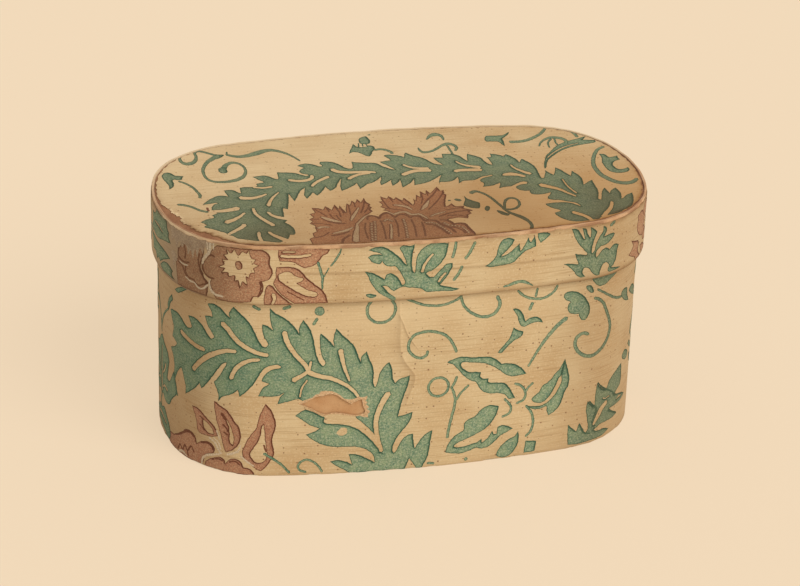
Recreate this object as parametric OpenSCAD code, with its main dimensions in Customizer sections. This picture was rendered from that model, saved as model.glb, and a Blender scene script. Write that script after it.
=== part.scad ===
// Oval bandbox of pasteboard covered in printed wallpaper, with a lid that slides down over the wall.
// Millimetres. The box stands on z = 0, its length lies along X and its front faces -Y.

/* [Plan] */
// Length of the box outside its wall board
body_len = 331; // [240:1:460]
// Width of the box outside its wall board
body_wid = 181; // [140:1:280]
// Radius of the four rounded corners
corner_r = 68; // [40:1:110]
// How far the long sides bow out between the corners
side_bow = 7; // [1:0.5:15]
// How far the ends bow out between the corners
end_bow = 2; // [0.5:0.5:8]

/* [Boards] */
// Height of the wall's band
wall_h = 168; // [90:1:260]
// Thickness of the wall's band
wall_t = 2.4; // [1.8:0.1:4]
// Thickness of the bottom board
bottom_t = 3; // [2:0.1:5]
// Thickness of the lid's top board
lid_t = 2.4; // [1.5:0.1:4]
// Height of the lid's rim
rim_h = 41.8; // [24:0.2:80]
// Thickness of the lid's rim
rim_t = 2; // [1.8:0.1:3.5]
// How far the rim stands above the paper of the lid's top
rim_lip = 0.5; // [0:0.1:3]

/* [Papers] */
// Thickness of the printed wallpaper
cover_t = 0.3; // [0.1:0.05:0.6]
// Thickness of the plain lining paper
lining_t = 0.2; // [0.1:0.05:0.4]
// Wallpaper turned over the wall's top edge, measured down the inside
wall_turn = 10; // [4:0.5:20]
// Wallpaper turned in at the rim's lower edge, measured up the inside
rim_turn = 8; // [4:0.5:14]
// Lining turned out of the wall onto the board next to it
lining_turn = 9; // [4:0.5:20]
// Bare board left above the rim's wallpaper
rim_bare = 0.3; // [0:0.1:2]
// Paper trimmed short of the edge of the lid's top board
top_trim = 0.5; // [0.1:0.1:3]
// Place along X of the papers' seams, at the back
seam_x = 20; // [-60:1:60]

/* [Sewn laps] */
// Place along X of the outer end of the wall's lap, at the front
wall_lap_x = -15; // [-50:1:30]
// Place along X of the outer end of the rim's lap, at the back
rim_lap_x = -40; // [-50:1:30]
// Length of a lap
lap_len = 36; // [20:1:50]
// Length of one stitch
stitch_len = 10; // [6:0.5:14]
// Board left clear of stitches at each edge
stitch_margin = 6; // [4:0.5:9]
// Thickness of the linen thread
thread_d = 0.6; // [0.3:0.05:0.7]
// Thickness of the thread where it is drawn tight through the board
thread_tight_d = 0.5; // [0.25:0.05:0.7]

/* [Fits] */
// Film of paste under a paper or between two layers of board
paste = 0.05; // [0.02:0.01:0.2]
// Gap round a board that is dropped into a band
board_gap = 0.1; // [0.05:0.05:0.5]
// Gap between two papers that meet edge to edge
butt_gap = 0.2; // [0.1:0.05:1]
// Gap all round between the lid and the box
lid_gap = 1.4; // [0.5:0.1:4]
// Gap round the thread in its holes and grooves
thread_gap = 0.05; // [0.02:0.01:0.15]

/* [Hidden] */
// Flat steps that a rounded corner, a long side and an end are drawn in
corner_steps = 16;
side_steps = 12;
end_steps = 6;
// Least distance from a corner's centre to the middle of an end
end_flat = 2;
// Spare length of a cutting shape past what it cuts
cut = 1;

// Arcs of the plan, which meet tangent to each other
plan_r = min(corner_r, body_wid / 2 - side_bow - end_flat);
cor_x = body_len / 2 - end_bow - plan_r;
cor_y = body_wid / 2 - side_bow - plan_r;
side_r = plan_r + (cor_x * cor_x + side_bow * side_bow) / (2 * side_bow);
end_r = plan_r + (cor_y * cor_y + end_bow * end_bow) / (2 * end_bow);
side_c = body_wid / 2 - side_r;
end_c = body_len / 2 - end_r;
side_a = atan2(cor_y - side_c, cor_x);
end_a = atan2(cor_y, cor_x - end_c);

// Offsets from the plan, outwards
cover_out = paste + cover_t;
wall_in = -wall_t;
turn_in = wall_in - paste - cover_t;
lining_in = wall_in - paste - lining_t;
rim_in = cover_out + lid_gap + max(cover_t, lining_t) + paste;
rim_out = rim_in + rim_t;
rim_cover_out = rim_out + paste + cover_t;
rim_turn_in = rim_in - paste - cover_t;
rim_lining_in = rim_in - paste - lining_t;

// Heights
wall_z0 = cover_t + paste;
wall_z1 = wall_z0 + wall_h;
floor_z = wall_z0 + bottom_t + paste;
seat_z = wall_z1 + paste + cover_t;
top_z0 = seat_z + lining_t + paste;
top_z1 = top_z0 + lid_t;
top_cover_z = top_z1 + paste;
rim_z1 = top_cover_z + cover_t + rim_lip;
rim_z0 = rim_z1 - rim_h;
rim_low_z = rim_z0 - paste - cover_t;

board_colour = "#b98a5c";
edge_colour = "#b08057";
wallpaper_colour = "#cfab79";
lining_colour = "#d9c7a2";
linen_colour = "#cdbd98";

// Points of an arc from its first angle up to, and without, its last
function arc_points(centre, r, first, sweep, steps) =
    [for (i = [0 : steps - 1])
        let (a = first + sweep * i / steps)
        centre + r * [cos(a), sin(a)]];

// The plan's outline, moved outwards by an offset
function plan_points(out) = concat(
    arc_points([end_c, 0], end_r + out, -end_a, 2 * end_a, end_steps),
    arc_points([cor_x, cor_y], plan_r + out, end_a, side_a - end_a, corner_steps),
    arc_points([0, side_c], side_r + out, side_a, 180 - 2 * side_a, side_steps),
    arc_points([-cor_x, cor_y], plan_r + out, 180 - side_a, side_a - end_a, corner_steps),
    arc_points([-end_c, 0], end_r + out, 180 - end_a, 2 * end_a, end_steps),
    arc_points([-cor_x, -cor_y], plan_r + out, 180 + end_a, side_a - end_a, corner_steps),
    arc_points([0, -side_c], side_r + out, 180 + side_a, 180 - 2 * side_a, side_steps),
    arc_points([cor_x, -cor_y], plan_r + out, -side_a, side_a - end_a, corner_steps)
);

// A sheet or board with the plan's outline
module slab(out, z0, z1) {
    translate([0, 0, z0])
        linear_extrude(z1 - z0)
            polygon(plan_points(out));
}

// A band that stands on edge and follows the plan
module band(out, in, z0, z1) {
    translate([0, 0, z0])
        linear_extrude(z1 - z0)
            difference() {
                polygon(plan_points(out));
                polygon(plan_points(in));
            }
}

// Places a shape on the plan's front line at x, with -Y outwards
module at_front(x) {
    translate([0, -side_c, 0])
        rotate(asin(x / side_r))
            translate([0, -side_r, 0])
                children();
}

// The part of a band that lies between two places along X at the front
module front_strip(x0, x1, out, in, z0, z1) {
    intersection() {
        band(out, in, z0, z1);
        translate([x0, -body_wid, z0])
            cube([x1 - x0, body_wid, z1 - z0]);
    }
}

// The slit of a pared lap: the outer layer ends at x, and the inner layer a lap's length further on
module lap_slit(x, out, t, z0, z1) {
    mid = out - t / 2;
    front_strip(x, x + lap_len, mid + paste / 2, mid - paste / 2, z0 - cut, z1 + cut);
    front_strip(x - paste, x, out + cut, mid - paste / 2, z0 - cut, z1 + cut);
    front_strip(x + lap_len, x + lap_len + paste, mid + paste / 2, out - t - cut, z0 - cut, z1 + cut);
}

// A running stitch up the middle of a lap, as one thread that goes out and in through the board.
// With a gap it is the room for that thread, open at both faces of the board.
module running_stitch(x, out, t, z0, z1, gap) {
    steps = floor((z1 - z0 - 2 * stitch_margin) / stitch_len);
    first = (z0 + z1 - steps * stitch_len) / 2;
    deep = thread_d + paste + gap;
    open = gap > 0 ? cut : -paste;
    wide = thread_d + 2 * gap;
    at_front(x + lap_len / 2) {
        for (i = [0 : steps])
            translate([0, -out + paste + thread_d / 2, first + i * stitch_len])
                rotate([-90, 0, 0])
                    cylinder(h = t - 2 * paste - thread_d, d = thread_tight_d + 2 * gap, $fn = 24);
        for (i = [0 : steps - 1])
            translate([-wide / 2, i % 2 == 0 ? -out - open : -out + t - deep,
                       first + i * stitch_len - wide / 2])
                cube([wide, deep + open, stitch_len + wide]);
    }
}

// The same lap and seam at the back: the shapes above turned half round
module at_back() {
    rotate(180) children();
}

// The slit of a paper's seam at the back
module paper_seam(out) {
    translate([seam_x - butt_gap / 2, 0, -cut])
        cube([butt_gap, body_wid / 2 + out + cut, rim_z1 + 2 * cut]);
}

// Band of pasteboard bent round the plan, its ends lapped at the front and sewn
module body_wall() {
    color(board_colour)
        difference() {
            band(0, wall_in, wall_z0, wall_z1);
            lap_slit(wall_lap_x, 0, wall_t, wall_z0, wall_z1);
            running_stitch(wall_lap_x, 0, wall_t, wall_z0, wall_z1, thread_gap);
        }
}

// Linen thread that holds the wall's lap
module body_wall_thread() {
    color(linen_colour)
        running_stitch(wall_lap_x, 0, wall_t, wall_z0, wall_z1, 0);
}

// Board dropped into the foot of the wall
module bottom_board() {
    color(board_colour)
        slab(wall_in - board_gap, wall_z0, wall_z0 + bottom_t);
}

// Wallpaper round the wall, turned over the top edge to the inside
module body_cover() {
    color(wallpaper_colour)
        difference() {
            union() {
                band(cover_out, paste, 0, seat_z);
                band(cover_out, turn_in, wall_z1 + paste, seat_z);
                band(wall_in - paste, turn_in, seat_z - wall_turn, seat_z);
            }
            paper_seam(cover_out);
        }
}

// Plain paper under the bottom, which the box stands on
module bottom_cover() {
    color(lining_colour)
        slab(0, 0, cover_t);
}

// Lining of the wall, with a foot turned onto the bottom board
module wall_lining() {
    color(lining_colour)
        union() {
            band(wall_in - paste, lining_in, floor_z, seat_z - wall_turn - butt_gap);
            band(wall_in - paste, lining_in - lining_turn, floor_z, floor_z + lining_t);
        }
}

// Lining of the floor, inside the foot of the wall's lining
module floor_lining() {
    color(lining_colour)
        slab(lining_in - lining_turn - butt_gap, floor_z, floor_z + lining_t);
}

// Band of pasteboard for the lid's rim, lapped and sewn at the back
module lid_rim() {
    color(edge_colour)
        difference() {
            band(rim_out, rim_in, rim_z0, rim_z1);
            at_back() {
                lap_slit(rim_lap_x, rim_out, rim_t, rim_z0, rim_z1);
                running_stitch(rim_lap_x, rim_out, rim_t, rim_z0, rim_z1, thread_gap);
            }
        }
}

// Linen thread that holds the rim's lap
module lid_rim_thread() {
    color(linen_colour)
        at_back()
            running_stitch(rim_lap_x, rim_out, rim_t, rim_z0, rim_z1, 0);
}

// Board dropped into the top of the rim
module lid_top_board() {
    color(board_colour)
        slab(rim_in - board_gap, top_z0, top_z1);
}

// Wallpaper round the rim, turned in at the lower edge; the rim's top edge stays bare
module lid_rim_cover() {
    color(wallpaper_colour)
        difference() {
            union() {
                band(rim_cover_out, rim_out + paste, rim_low_z, rim_z1 - rim_bare);
                band(rim_cover_out, rim_turn_in, rim_low_z, rim_z0 - paste);
                band(rim_in - paste, rim_turn_in, rim_low_z, rim_low_z + rim_turn);
            }
            paper_seam(rim_cover_out);
        }
}

// Wallpaper on the lid's top
module lid_top_cover() {
    color(wallpaper_colour)
        slab(rim_in - board_gap - top_trim, top_cover_z, top_cover_z + cover_t);
}

// Lining of the rim, with a head turned onto the underside of the top board
module lid_rim_lining() {
    color(lining_colour)
        union() {
            band(rim_in - paste, rim_lining_in, rim_low_z + rim_turn + butt_gap, seat_z + lining_t);
            band(rim_in - paste, rim_lining_in - lining_turn, seat_z, seat_z + lining_t);
        }
}

// Lining of the lid's underside, inside the head of the rim's lining
module lid_top_lining() {
    color(lining_colour)
        slab(rim_lining_in - lining_turn - butt_gap, seat_z, seat_z + lining_t);
}

body_wall();
body_wall_thread();
bottom_board();
body_cover();
bottom_cover();
wall_lining();
floor_lining();
lid_rim();
lid_rim_thread();
lid_top_board();
lid_rim_cover();
lid_top_cover();
lid_rim_lining();
lid_top_lining();
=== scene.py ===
import math

import bpy
import numpy as np
from mathutils import Matrix, Vector, noise
from mathutils.geometry import delaunay_2d_cdt


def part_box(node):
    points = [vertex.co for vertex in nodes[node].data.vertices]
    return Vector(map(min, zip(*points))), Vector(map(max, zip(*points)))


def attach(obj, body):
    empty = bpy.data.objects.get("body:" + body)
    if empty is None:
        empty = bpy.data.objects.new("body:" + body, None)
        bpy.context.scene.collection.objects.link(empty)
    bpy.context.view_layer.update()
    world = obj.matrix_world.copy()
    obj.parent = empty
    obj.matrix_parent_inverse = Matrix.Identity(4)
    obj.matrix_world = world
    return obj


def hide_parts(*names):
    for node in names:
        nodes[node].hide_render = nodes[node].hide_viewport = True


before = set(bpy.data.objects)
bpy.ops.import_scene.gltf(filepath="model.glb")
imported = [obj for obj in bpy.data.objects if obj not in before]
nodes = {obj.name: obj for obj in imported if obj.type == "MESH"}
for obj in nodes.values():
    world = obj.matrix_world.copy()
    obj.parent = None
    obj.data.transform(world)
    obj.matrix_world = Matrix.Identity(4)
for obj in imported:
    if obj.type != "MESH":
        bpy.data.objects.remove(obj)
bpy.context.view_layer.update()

mm = 0.001
halfTurn = math.pi


# corners of a CAD node's own box, in mm
def nodeBox(node):
    return [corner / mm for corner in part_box(node)]


# plan of the box: arcs that meet tangent, taken from the wall's own box and three bends of the board
plan = {"cornerRadius": 68, "sideBow": 7, "endBow": 2}

wallHigh = nodeBox("body_wall")[1]
corner = plan["cornerRadius"]
cornerX = wallHigh.x - plan["endBow"] - corner
cornerY = wallHigh.y - plan["sideBow"] - corner
sideRadius = corner + (cornerX ** 2 + plan["sideBow"] ** 2) / (2 * plan["sideBow"])
endRadius = corner + (cornerY ** 2 + plan["endBow"] ** 2) / (2 * plan["endBow"])
sideCentre = wallHigh.y - sideRadius
endCentre = wallHigh.x - endRadius
sideTurn = math.atan2(cornerY - sideCentre, cornerX)
endTurn = math.atan2(cornerY, cornerX - endCentre)

# centre, radius, first and last angle of each arc, from the front's middle towards +X and round
planArcs = [
    ((0, -sideCentre), sideRadius, -halfTurn / 2, -sideTurn),
    ((cornerX, -cornerY), corner, -sideTurn, -endTurn),
    ((endCentre, 0), endRadius, -endTurn, endTurn),
    ((cornerX, cornerY), corner, endTurn, sideTurn),
    ((0, sideCentre), sideRadius, sideTurn, halfTurn - sideTurn),
    ((-cornerX, cornerY), corner, halfTurn - sideTurn, halfTurn - endTurn),
    ((-endCentre, 0), endRadius, halfTurn - endTurn, halfTurn + endTurn),
    ((-cornerX, -cornerY), corner, halfTurn + endTurn, halfTurn + sideTurn),
    ((0, -sideCentre), sideRadius, halfTurn + sideTurn, halfTurn * 1.5),
]
arcCentre = np.array([centre for centre, radius, first, last in planArcs], float)
arcRadius = np.array([radius for centre, radius, first, last in planArcs], float)
arcFirst = np.array([first for centre, radius, first, last in planArcs], float)
arcSweep = np.array([last - first for centre, radius, first, last in planArcs], float)


def girth(out):
    return float(((arcRadius + out) * arcSweep).sum())


# point at s along the plan, measured round at offset out, and moved to offset off
def around(s, out, off):
    lengths = (arcRadius + out) * arcSweep
    starts = np.concatenate([[0], np.cumsum(lengths)])
    s = np.mod(np.asarray(s, float), starts[-1])
    k = np.clip(np.searchsorted(starts, s, "right") - 1, 0, len(lengths) - 1)
    angle = arcFirst[k] + arcSweep[k] * (s - starts[k]) / lengths[k]
    ray = np.stack([np.cos(angle), np.sin(angle)], -1)
    return arcCentre[k] + (arcRadius[k] + off)[:, None] * ray


# distance round from the front's middle, to the left below zero
def fromFront(s, whole):
    return np.mod(s + whole / 2, whole) - whole / 2


# share of the way from start to full, from none to 1
def ramp(value, start, full):
    return np.clip((value - start) / (full - start), 0, 1)


# soft round patch, 1 in its middle
def softPatch(x, y, middle, size):
    return np.exp(-((x - middle[0]) / size[0]) ** 2 - ((y - middle[1]) / size[1]) ** 2)


# smooth ups and downs between 0 and 1, the same each run
def waves(s, v, seed, sizeS, sizeV):
    rng = np.random.default_rng(seed)
    total = np.zeros(np.broadcast(s, v).shape)
    for turn in range(5):
        ks = rng.normal(0, 2 * math.pi / sizeS)
        kv = rng.normal(0, 2 * math.pi / sizeV)
        total += np.sin(ks * s + kv * v + rng.uniform(0, 2 * math.pi))
    return 0.5 + 0.5 * np.tanh(total / 2)


# section of a folded sheet: offset and height along its length, with rounded folds
def foldSection(corners, roundness, zeroAt):
    corners = np.array(corners, float)
    pts = [corners[0]]
    for last, here, following in zip(corners, corners[1:], corners[2:]):
        before = last - here
        after = following - here
        before /= np.linalg.norm(before)
        after /= np.linalg.norm(after)
        middle = here + (before + after) * roundness
        for turn in np.linspace(0, 1, 7):
            way = -after * math.cos(turn * halfTurn / 2) - before * math.sin(turn * halfTurn / 2)
            pts.append(middle + way * roundness)
    pts = np.array(pts + [corners[-1]])
    step = np.linalg.norm(np.diff(pts, axis=0), axis=1)
    run = np.concatenate([[0], np.cumsum(step)])
    run += pts[zeroAt, 1] - run[zeroAt]
    tangent = np.gradient(pts, axis=0)
    tangent /= np.linalg.norm(tangent, axis=1)[:, None]
    side = np.stack([tangent[:, 1], -tangent[:, 0]], -1)
    return run, pts, side


# puts points of a flat sheet, in mm, on a folded band
def placeOnBand(band, s, v, lift):
    run, pts, side = band["section"]
    off, z, nOff, nZ = (np.interp(v, run, part[:, k]) for part in (pts, side) for k in (0, 1))
    lift = lift + band["lift"](s, v)
    xy = around(s, band["out"], off + nOff * lift)
    return np.column_stack([xy, z + nZ * lift]) * mm


def placeOnTop(disc, x, y, lift):
    z = disc["z"] + disc["lift"](x, y) + lift
    return np.column_stack([x, y, z]) * mm


# line through given points: (x, y) is smooth, (x, y, 1) is a sharp corner
def smoothLine(points, closed, step):
    p = np.array([q[:2] for q in points], float)
    sharp = [len(q) > 2 for q in points]
    count = len(p)
    pieces = []
    for i in range(count if closed else count - 1):
        j = (i + 1) % count
        chord = p[j] - p[i]
        length = max(np.hypot(*chord), 1e-6)
        first = chord
        last = chord
        if not sharp[i] and (closed or i > 0):
            back = p[i] - p[i - 1]
            first = (chord + back) * length / (length + np.hypot(*back))
        if not sharp[j] and (closed or j < count - 1):
            ahead = p[(j + 1) % count] - p[j]
            last = (chord + ahead) * length / (length + np.hypot(*ahead))
        t = np.arange(0, 1, 1 / max(2, math.ceil(length / step)))[:, None]
        pieces.append(p[i] * (2 * t ** 3 - 3 * t ** 2 + 1) + first * (t ** 3 - 2 * t ** 2 + t)
                      + p[j] * (3 * t ** 2 - 2 * t ** 3) + last * (t ** 3 - t ** 2))
    if not closed:
        pieces.append(p[-1:])
    return np.concatenate(pieces)


# outline of a brush or knife stroke, whose width runs evenly through the widths given
def strokeOutline(path, widths, step):
    line = smoothLine(path, False, step)
    tangent = np.gradient(line, axis=0)
    tangent /= np.linalg.norm(tangent, axis=1)[:, None] + 1e-9
    side = np.stack([-tangent[:, 1], tangent[:, 0]], -1)
    run = np.concatenate([[0], np.cumsum(np.linalg.norm(np.diff(line, axis=0), axis=1))])
    wide = np.interp(run / run[-1], np.linspace(0, 1, len(widths)), widths)[:, None] / 2
    start = line[0] - tangent[0] * wide[0] * 0.8
    end = line[-1] + tangent[-1] * wide[-1] * 0.8
    return np.concatenate([[start], line - side * wide, [end], (line + side * wide)[::-1]])


def circle(x, y, radius):
    a = np.linspace(0, 2 * math.pi, max(10, int(radius * 6)), endpoint=False)
    return np.stack([x + radius * np.cos(a), y + radius * np.sin(a)], -1)


def windingArea(poly):
    nxt = np.roll(poly, -1, 0)
    return 0.5 * float((poly[:, 0] * nxt[:, 1] - nxt[:, 0] * poly[:, 1]).sum())


# which points lie in an outline's own box, with a margin
def nearOutline(points, poly, margin):
    return np.flatnonzero(((points > poly.min(0) - margin) & (points < poly.max(0) + margin)).all(1))


# distance to an outline as far as the reach, and which of its edges is the nearest
def edgeDistance(points, poly):
    reach = 6.0
    batch = 16
    ab = np.roll(poly, -1, 0) - poly
    square = (ab * ab).sum(1) + 1e-12
    best = np.full(len(points), reach)
    which = np.zeros(len(points), int)
    for k in range(0, len(poly), batch):
        part = slice(k, k + batch)
        near = nearOutline(points, np.concatenate([poly[part], poly[part] + ab[part]]), reach)
        w = points[near, None] - poly[part]
        t = np.clip((w * ab[part]).sum(2) / square[part], 0, 1)
        gap = np.sqrt(((w - t[..., None] * ab[part]) ** 2).sum(2))
        closer = gap.min(1) < best[near]
        best[near[closer]] = gap.min(1)[closer]
        which[near[closer]] = k + gap.argmin(1)[closer]
    return best, which


def isInside(points, poly):
    x, y = points.T
    odd = np.zeros(len(points), bool)
    for (ax, ay), (bx, by) in zip(poly, np.roll(poly, -1, 0)):
        if ay != by:
            odd ^= ((ay > y) != (by > y)) & (x < (bx - ax) * (y - ay) / (by - ay) + ax)
    return odd


def outwardNormals(poly):
    tangent = np.roll(poly, -1, 0) - np.roll(poly, 1, 0)
    tangent /= np.linalg.norm(tangent, axis=1)[:, None] + 1e-9
    return np.stack([tangent[:, 1], -tangent[:, 0]], -1)


def openLinks(count):
    return [(i, i + 1) for i in range(count - 1)]


def closedLinks(count):
    return [(i, (i + 1) % count) for i in range(count)]


# a line beside an outline, out by its own distance at each point, kept where nothing else is nearer
def offsetRuns(poly, out):
    moved = poly + outwardNormals(poly) * out[:, None]
    keep = edgeDistance(moved, poly)[0] > 0.9 * np.abs(out)
    return moved, [(i, j) for i, j in closedLinks(len(poly)) if keep[i] and keep[j]]


# triangles over a flat region, with every line given as an edge of the net
def flatNet(lines, loose):
    points = []
    edges = []
    for pts, links in lines:
        edges += [(a + len(points), b + len(points)) for a, b in links]
        points += [Vector((float(x), float(y))) for x, y in pts]
    points += [Vector((float(x), float(y))) for x, y in loose]
    verts, _, faces, _, _, _ = delaunay_2d_cdt(points, edges, [], 0, 1e-4, False)
    return np.array([tuple(v) for v in verts]), np.array([f for f in faces if len(f) == 3])


def looseGrid(low, high, step):
    rows = np.arange(low[1] + step / 2, high[1], step * 0.87)
    cols = np.arange(low[0] + step / 2, high[0], step)
    return np.array([(x + (i % 2) * step / 2, y) for i, y in enumerate(rows) for x in cols])


def smoothPiece(piece, degrees):
    bpy.ops.object.select_all(action="DESELECT")
    piece.select_set(True)
    bpy.context.view_layer.objects.active = piece
    bpy.ops.object.shade_smooth_by_angle(angle=math.radians(degrees))


# thin closed shell over a flat net: face, back and edges, with the sheet's own mm as its UV map
def makeShell(name, flat, tris, place, face, back, rows, marks):
    used, inverse = np.unique(tris, return_inverse=True)
    tris = inverse.reshape(tris.shape)
    flat = flat[used]
    a, b, c = flat[tris[:, 0]], flat[tris[:, 1]], flat[tris[:, 2]]
    turned = (b[:, 0] - a[:, 0]) * (c[:, 1] - a[:, 1]) < (c[:, 0] - a[:, 0]) * (b[:, 1] - a[:, 1])
    tris[turned] = tris[turned][:, ::-1]
    count = len(flat)
    sides = np.concatenate([tris[:, [0, 1]], tris[:, [1, 2]], tris[:, [2, 0]]])
    known = set(map(tuple, sides.tolist()))
    rim = sorted((p, q) for p, q in known if (q, p) not in known)
    faces = tris.tolist() + (tris[:, ::-1] + count).tolist()
    faces += [(q, p, p + count, q + count) for p, q in rim]
    verts = np.concatenate([place(flat[:, 0], flat[:, 1], face), place(flat[:, 0], flat[:, 1], back)])
    mesh = bpy.data.meshes.new(name)
    mesh.from_pydata(verts.tolist(), [], faces)
    piece = bpy.data.objects.new(name, mesh)
    bpy.context.scene.collection.objects.link(piece)
    for key, values in marks.items():
        mark = mesh.attributes.new(key, "FLOAT", "POINT")
        mark.data.foreach_set("value", np.tile(values[used], 2))
    order = np.empty(len(mesh.loops), int)
    mesh.loops.foreach_get("vertex_index", order)
    onSheet = np.concatenate([flat, flat])[order]
    sheetMap = mesh.uv_layers.new(name="sheet")
    sheetMap.data.foreach_set("uv", (onSheet * mm).ravel())
    # the same flat sheet cut in rows to fill a square, kept for baking
    low, high = rows["low"], rows["high"]
    owner = np.repeat(np.arange(len(faces)), [len(f) for f in faces])
    middle = np.bincount(owner, onSheet[:, 0]) / np.bincount(owner)
    width = (high[0] - low[0]) / rows["count"]
    row = np.clip(np.floor((middle - low[0]) / width), 0, rows["count"] - 1)[owner]
    u = (onSheet[:, 0] - low[0] - row * width) / width
    v = (row + 0.01 + 0.98 * (onSheet[:, 1] - low[1]) / (high[1] - low[1])) / rows["count"]
    bakeMap = mesh.uv_layers.new(name="OFBake")
    bakeMap.data.foreach_set("uv", np.clip(np.stack([0.01 + 0.98 * u, v], -1), 0, 1).ravel())
    smoothPiece(piece, 50)
    return piece


def finishPiece(piece, body, slot, material, *stoodFor):
    piece.data.materials.clear()
    piece.data.materials.append(material)
    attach(piece, body)
    if stoodFor:
        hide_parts(*stoodFor)


# colours and nodes
def linear(hexColour):
    parts = [int(hexColour[i:i + 2], 16) / 255 for i in (1, 3, 5)]
    return tuple(p / 12.92 if p <= 0.04045 else ((p + 0.055) / 1.055) ** 2.4 for p in parts) + (1,)


# adds a node: a socket among its settings is linked, any other value is set
def addNode(tree, kind, settings):
    node = tree.nodes.new(kind)
    for key, value in settings.items():
        if isinstance(value, bpy.types.NodeSocket):
            tree.links.new(value, node.inputs[key])
        elif isinstance(key, int) or key in node.inputs.keys():
            node.inputs[key].default_value = value
        else:
            setattr(node, key, value)
    return node


# grain of a size in mm
def noiseAt(tree, place, size, detail, **more):
    settings = {"Scale": 1 / (size * mm), "Detail": detail, "Vector": place, **more}
    return addNode(tree, "ShaderNodeTexNoise", settings).outputs[0]


def bandsAt(tree, place, size, **more):
    settings = {"Scale": 1 / (size * mm), "bands_direction": "Z", "Vector": place, **more}
    return addNode(tree, "ShaderNodeTexWave", settings).outputs["Fac"]


def remap(tree, value, low, high, most=1, least=0):
    settings = {"Value": value, "From Min": low, "From Max": high, "To Min": least, "To Max": most}
    return addNode(tree, "ShaderNodeMapRange", settings).outputs[0]


def compute(tree, operation, first, second):
    return addNode(tree, "ShaderNodeMath", {"operation": operation, 0: first, 1: second}).outputs[0]


def markAt(tree, mark):
    return addNode(tree, "ShaderNodeAttribute", {"attribute_name": mark}).outputs["Fac"]


# two colours, each a hex value, a linear colour or a socket
def blend(tree, share, first, second, kind="MIX"):
    first, second = (linear(colour) if isinstance(colour, str) else colour for colour in (first, second))
    settings = {"data_type": "RGBA", "clamp_factor": True, "blend_type": kind}
    return addNode(tree, "ShaderNodeMix", {**settings, 0: share, 6: first, 7: second}).outputs[2]


def newMaterial(name, roughness, ior):
    material = bpy.data.materials.new(name)
    material.use_nodes = True
    tree = material.node_tree
    shader = tree.nodes["Principled BSDF"]
    shader.inputs["Roughness"].default_value = roughness
    shader.inputs["IOR"].default_value = ior
    return material, tree, shader


# the place that a grain follows: the flat sheet or the object
def onSheet(tree):
    return addNode(tree, "ShaderNodeUVMap", {"uv_map": "sheet"}).outputs["UV"]


def onObject(tree):
    return addNode(tree, "ShaderNodeTexCoord", {}).outputs["Object"]


# colour and relief of a shader; each relief is a height, a strength and a depth in mm
def dressShader(tree, shader, colour, *reliefs):
    tree.links.new(colour, shader.inputs["Base Color"])
    under = {}
    for height, strength, depth in reliefs:
        settings = {"Height": height, "Strength": strength, "Distance": depth * mm, **under}
        under = {"Normal": addNode(tree, "ShaderNodeBump", settings).outputs[0]}
    tree.links.new(under["Normal"], shader.inputs["Normal"])


# wallpaper ground: rag paper brushed with tan size colour; even matt tan, streaked along the brush,
# foxed with small brown specks, darker towards the foot of the box, and mixed with its marks, which hold
# dirt with painted shade and pale paper with painted light
groundLook = {
    "tan": "#DABB8B", "brown": "#C9A371", "pale": "#E3C89B", "streak": "#AD8656", "speck": "#7F5230",
    "soilAndShade": "#8E673D", "paleAndLit": "#EACB9A", "stain": "#C08A4A", "smoke": "#8D7C66",
    "streakLong": 36, "streakThick": 0.9, "blotch": 38, "grain": 1.3, "fleck": 4.6,
}
groundMarks = ("soilAndShade", "paleAndLit", "stain", "smoke")


def wallpaperGround():
    look = groundLook
    material, tree, shader = newMaterial("brushed_rag_wallpaper", 0.86, 1.45)
    sheet = onSheet(tree)
    brush = (1 / (look["streakLong"] * mm), 1 / (look["streakThick"] * mm), 1)
    along = addNode(tree, "ShaderNodeMapping", {"Scale": brush, "Vector": sheet}).outputs[0]
    streak = noiseAt(tree, along, 1 / mm, 3)
    grain = noiseAt(tree, sheet, look["grain"], 2)
    tone = remap(tree, noiseAt(tree, sheet, look["blotch"], 4), 0.35, 0.68)
    colour = blend(tree, tone, look["tan"], look["brown"])
    colour = blend(tree, remap(tree, grain, 0.5, 0.75, 0.7), colour, look["pale"])
    colour = blend(tree, remap(tree, streak, 0.52, 0.68, 0.55), colour, look["streak"])
    fleck = addNode(tree, "ShaderNodeTexVoronoi",
                    {"voronoi_dimensions": "2D", "Scale": 1 / (look["fleck"] * mm), "Vector": sheet})
    chance = addNode(tree, "ShaderNodeSeparateColor", {0: fleck.outputs["Color"]}).outputs[0]
    inFleck = compute(tree, "SUBTRACT", remap(tree, chance, 0.5, 1, 0.16), fleck.outputs["Distance"])
    colour = blend(tree, remap(tree, inFleck, 0, 0.04, 0.8), colour, look["speck"])
    # marks mixed in: soil and painted shade, pale paper and painted light, stain, smoke
    for mark in groundMarks:
        colour = blend(tree, markAt(tree, mark), colour, look[mark])
    dressShader(tree, shader, colour, (streak, 0.25, 0.2), (grain, 0.2, 0.1))
    return material


inkLook = {"dirtAndShade": "#4C3B1C", "mottle": 1.5, "patch": 8, "grain": 0.9}
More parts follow.
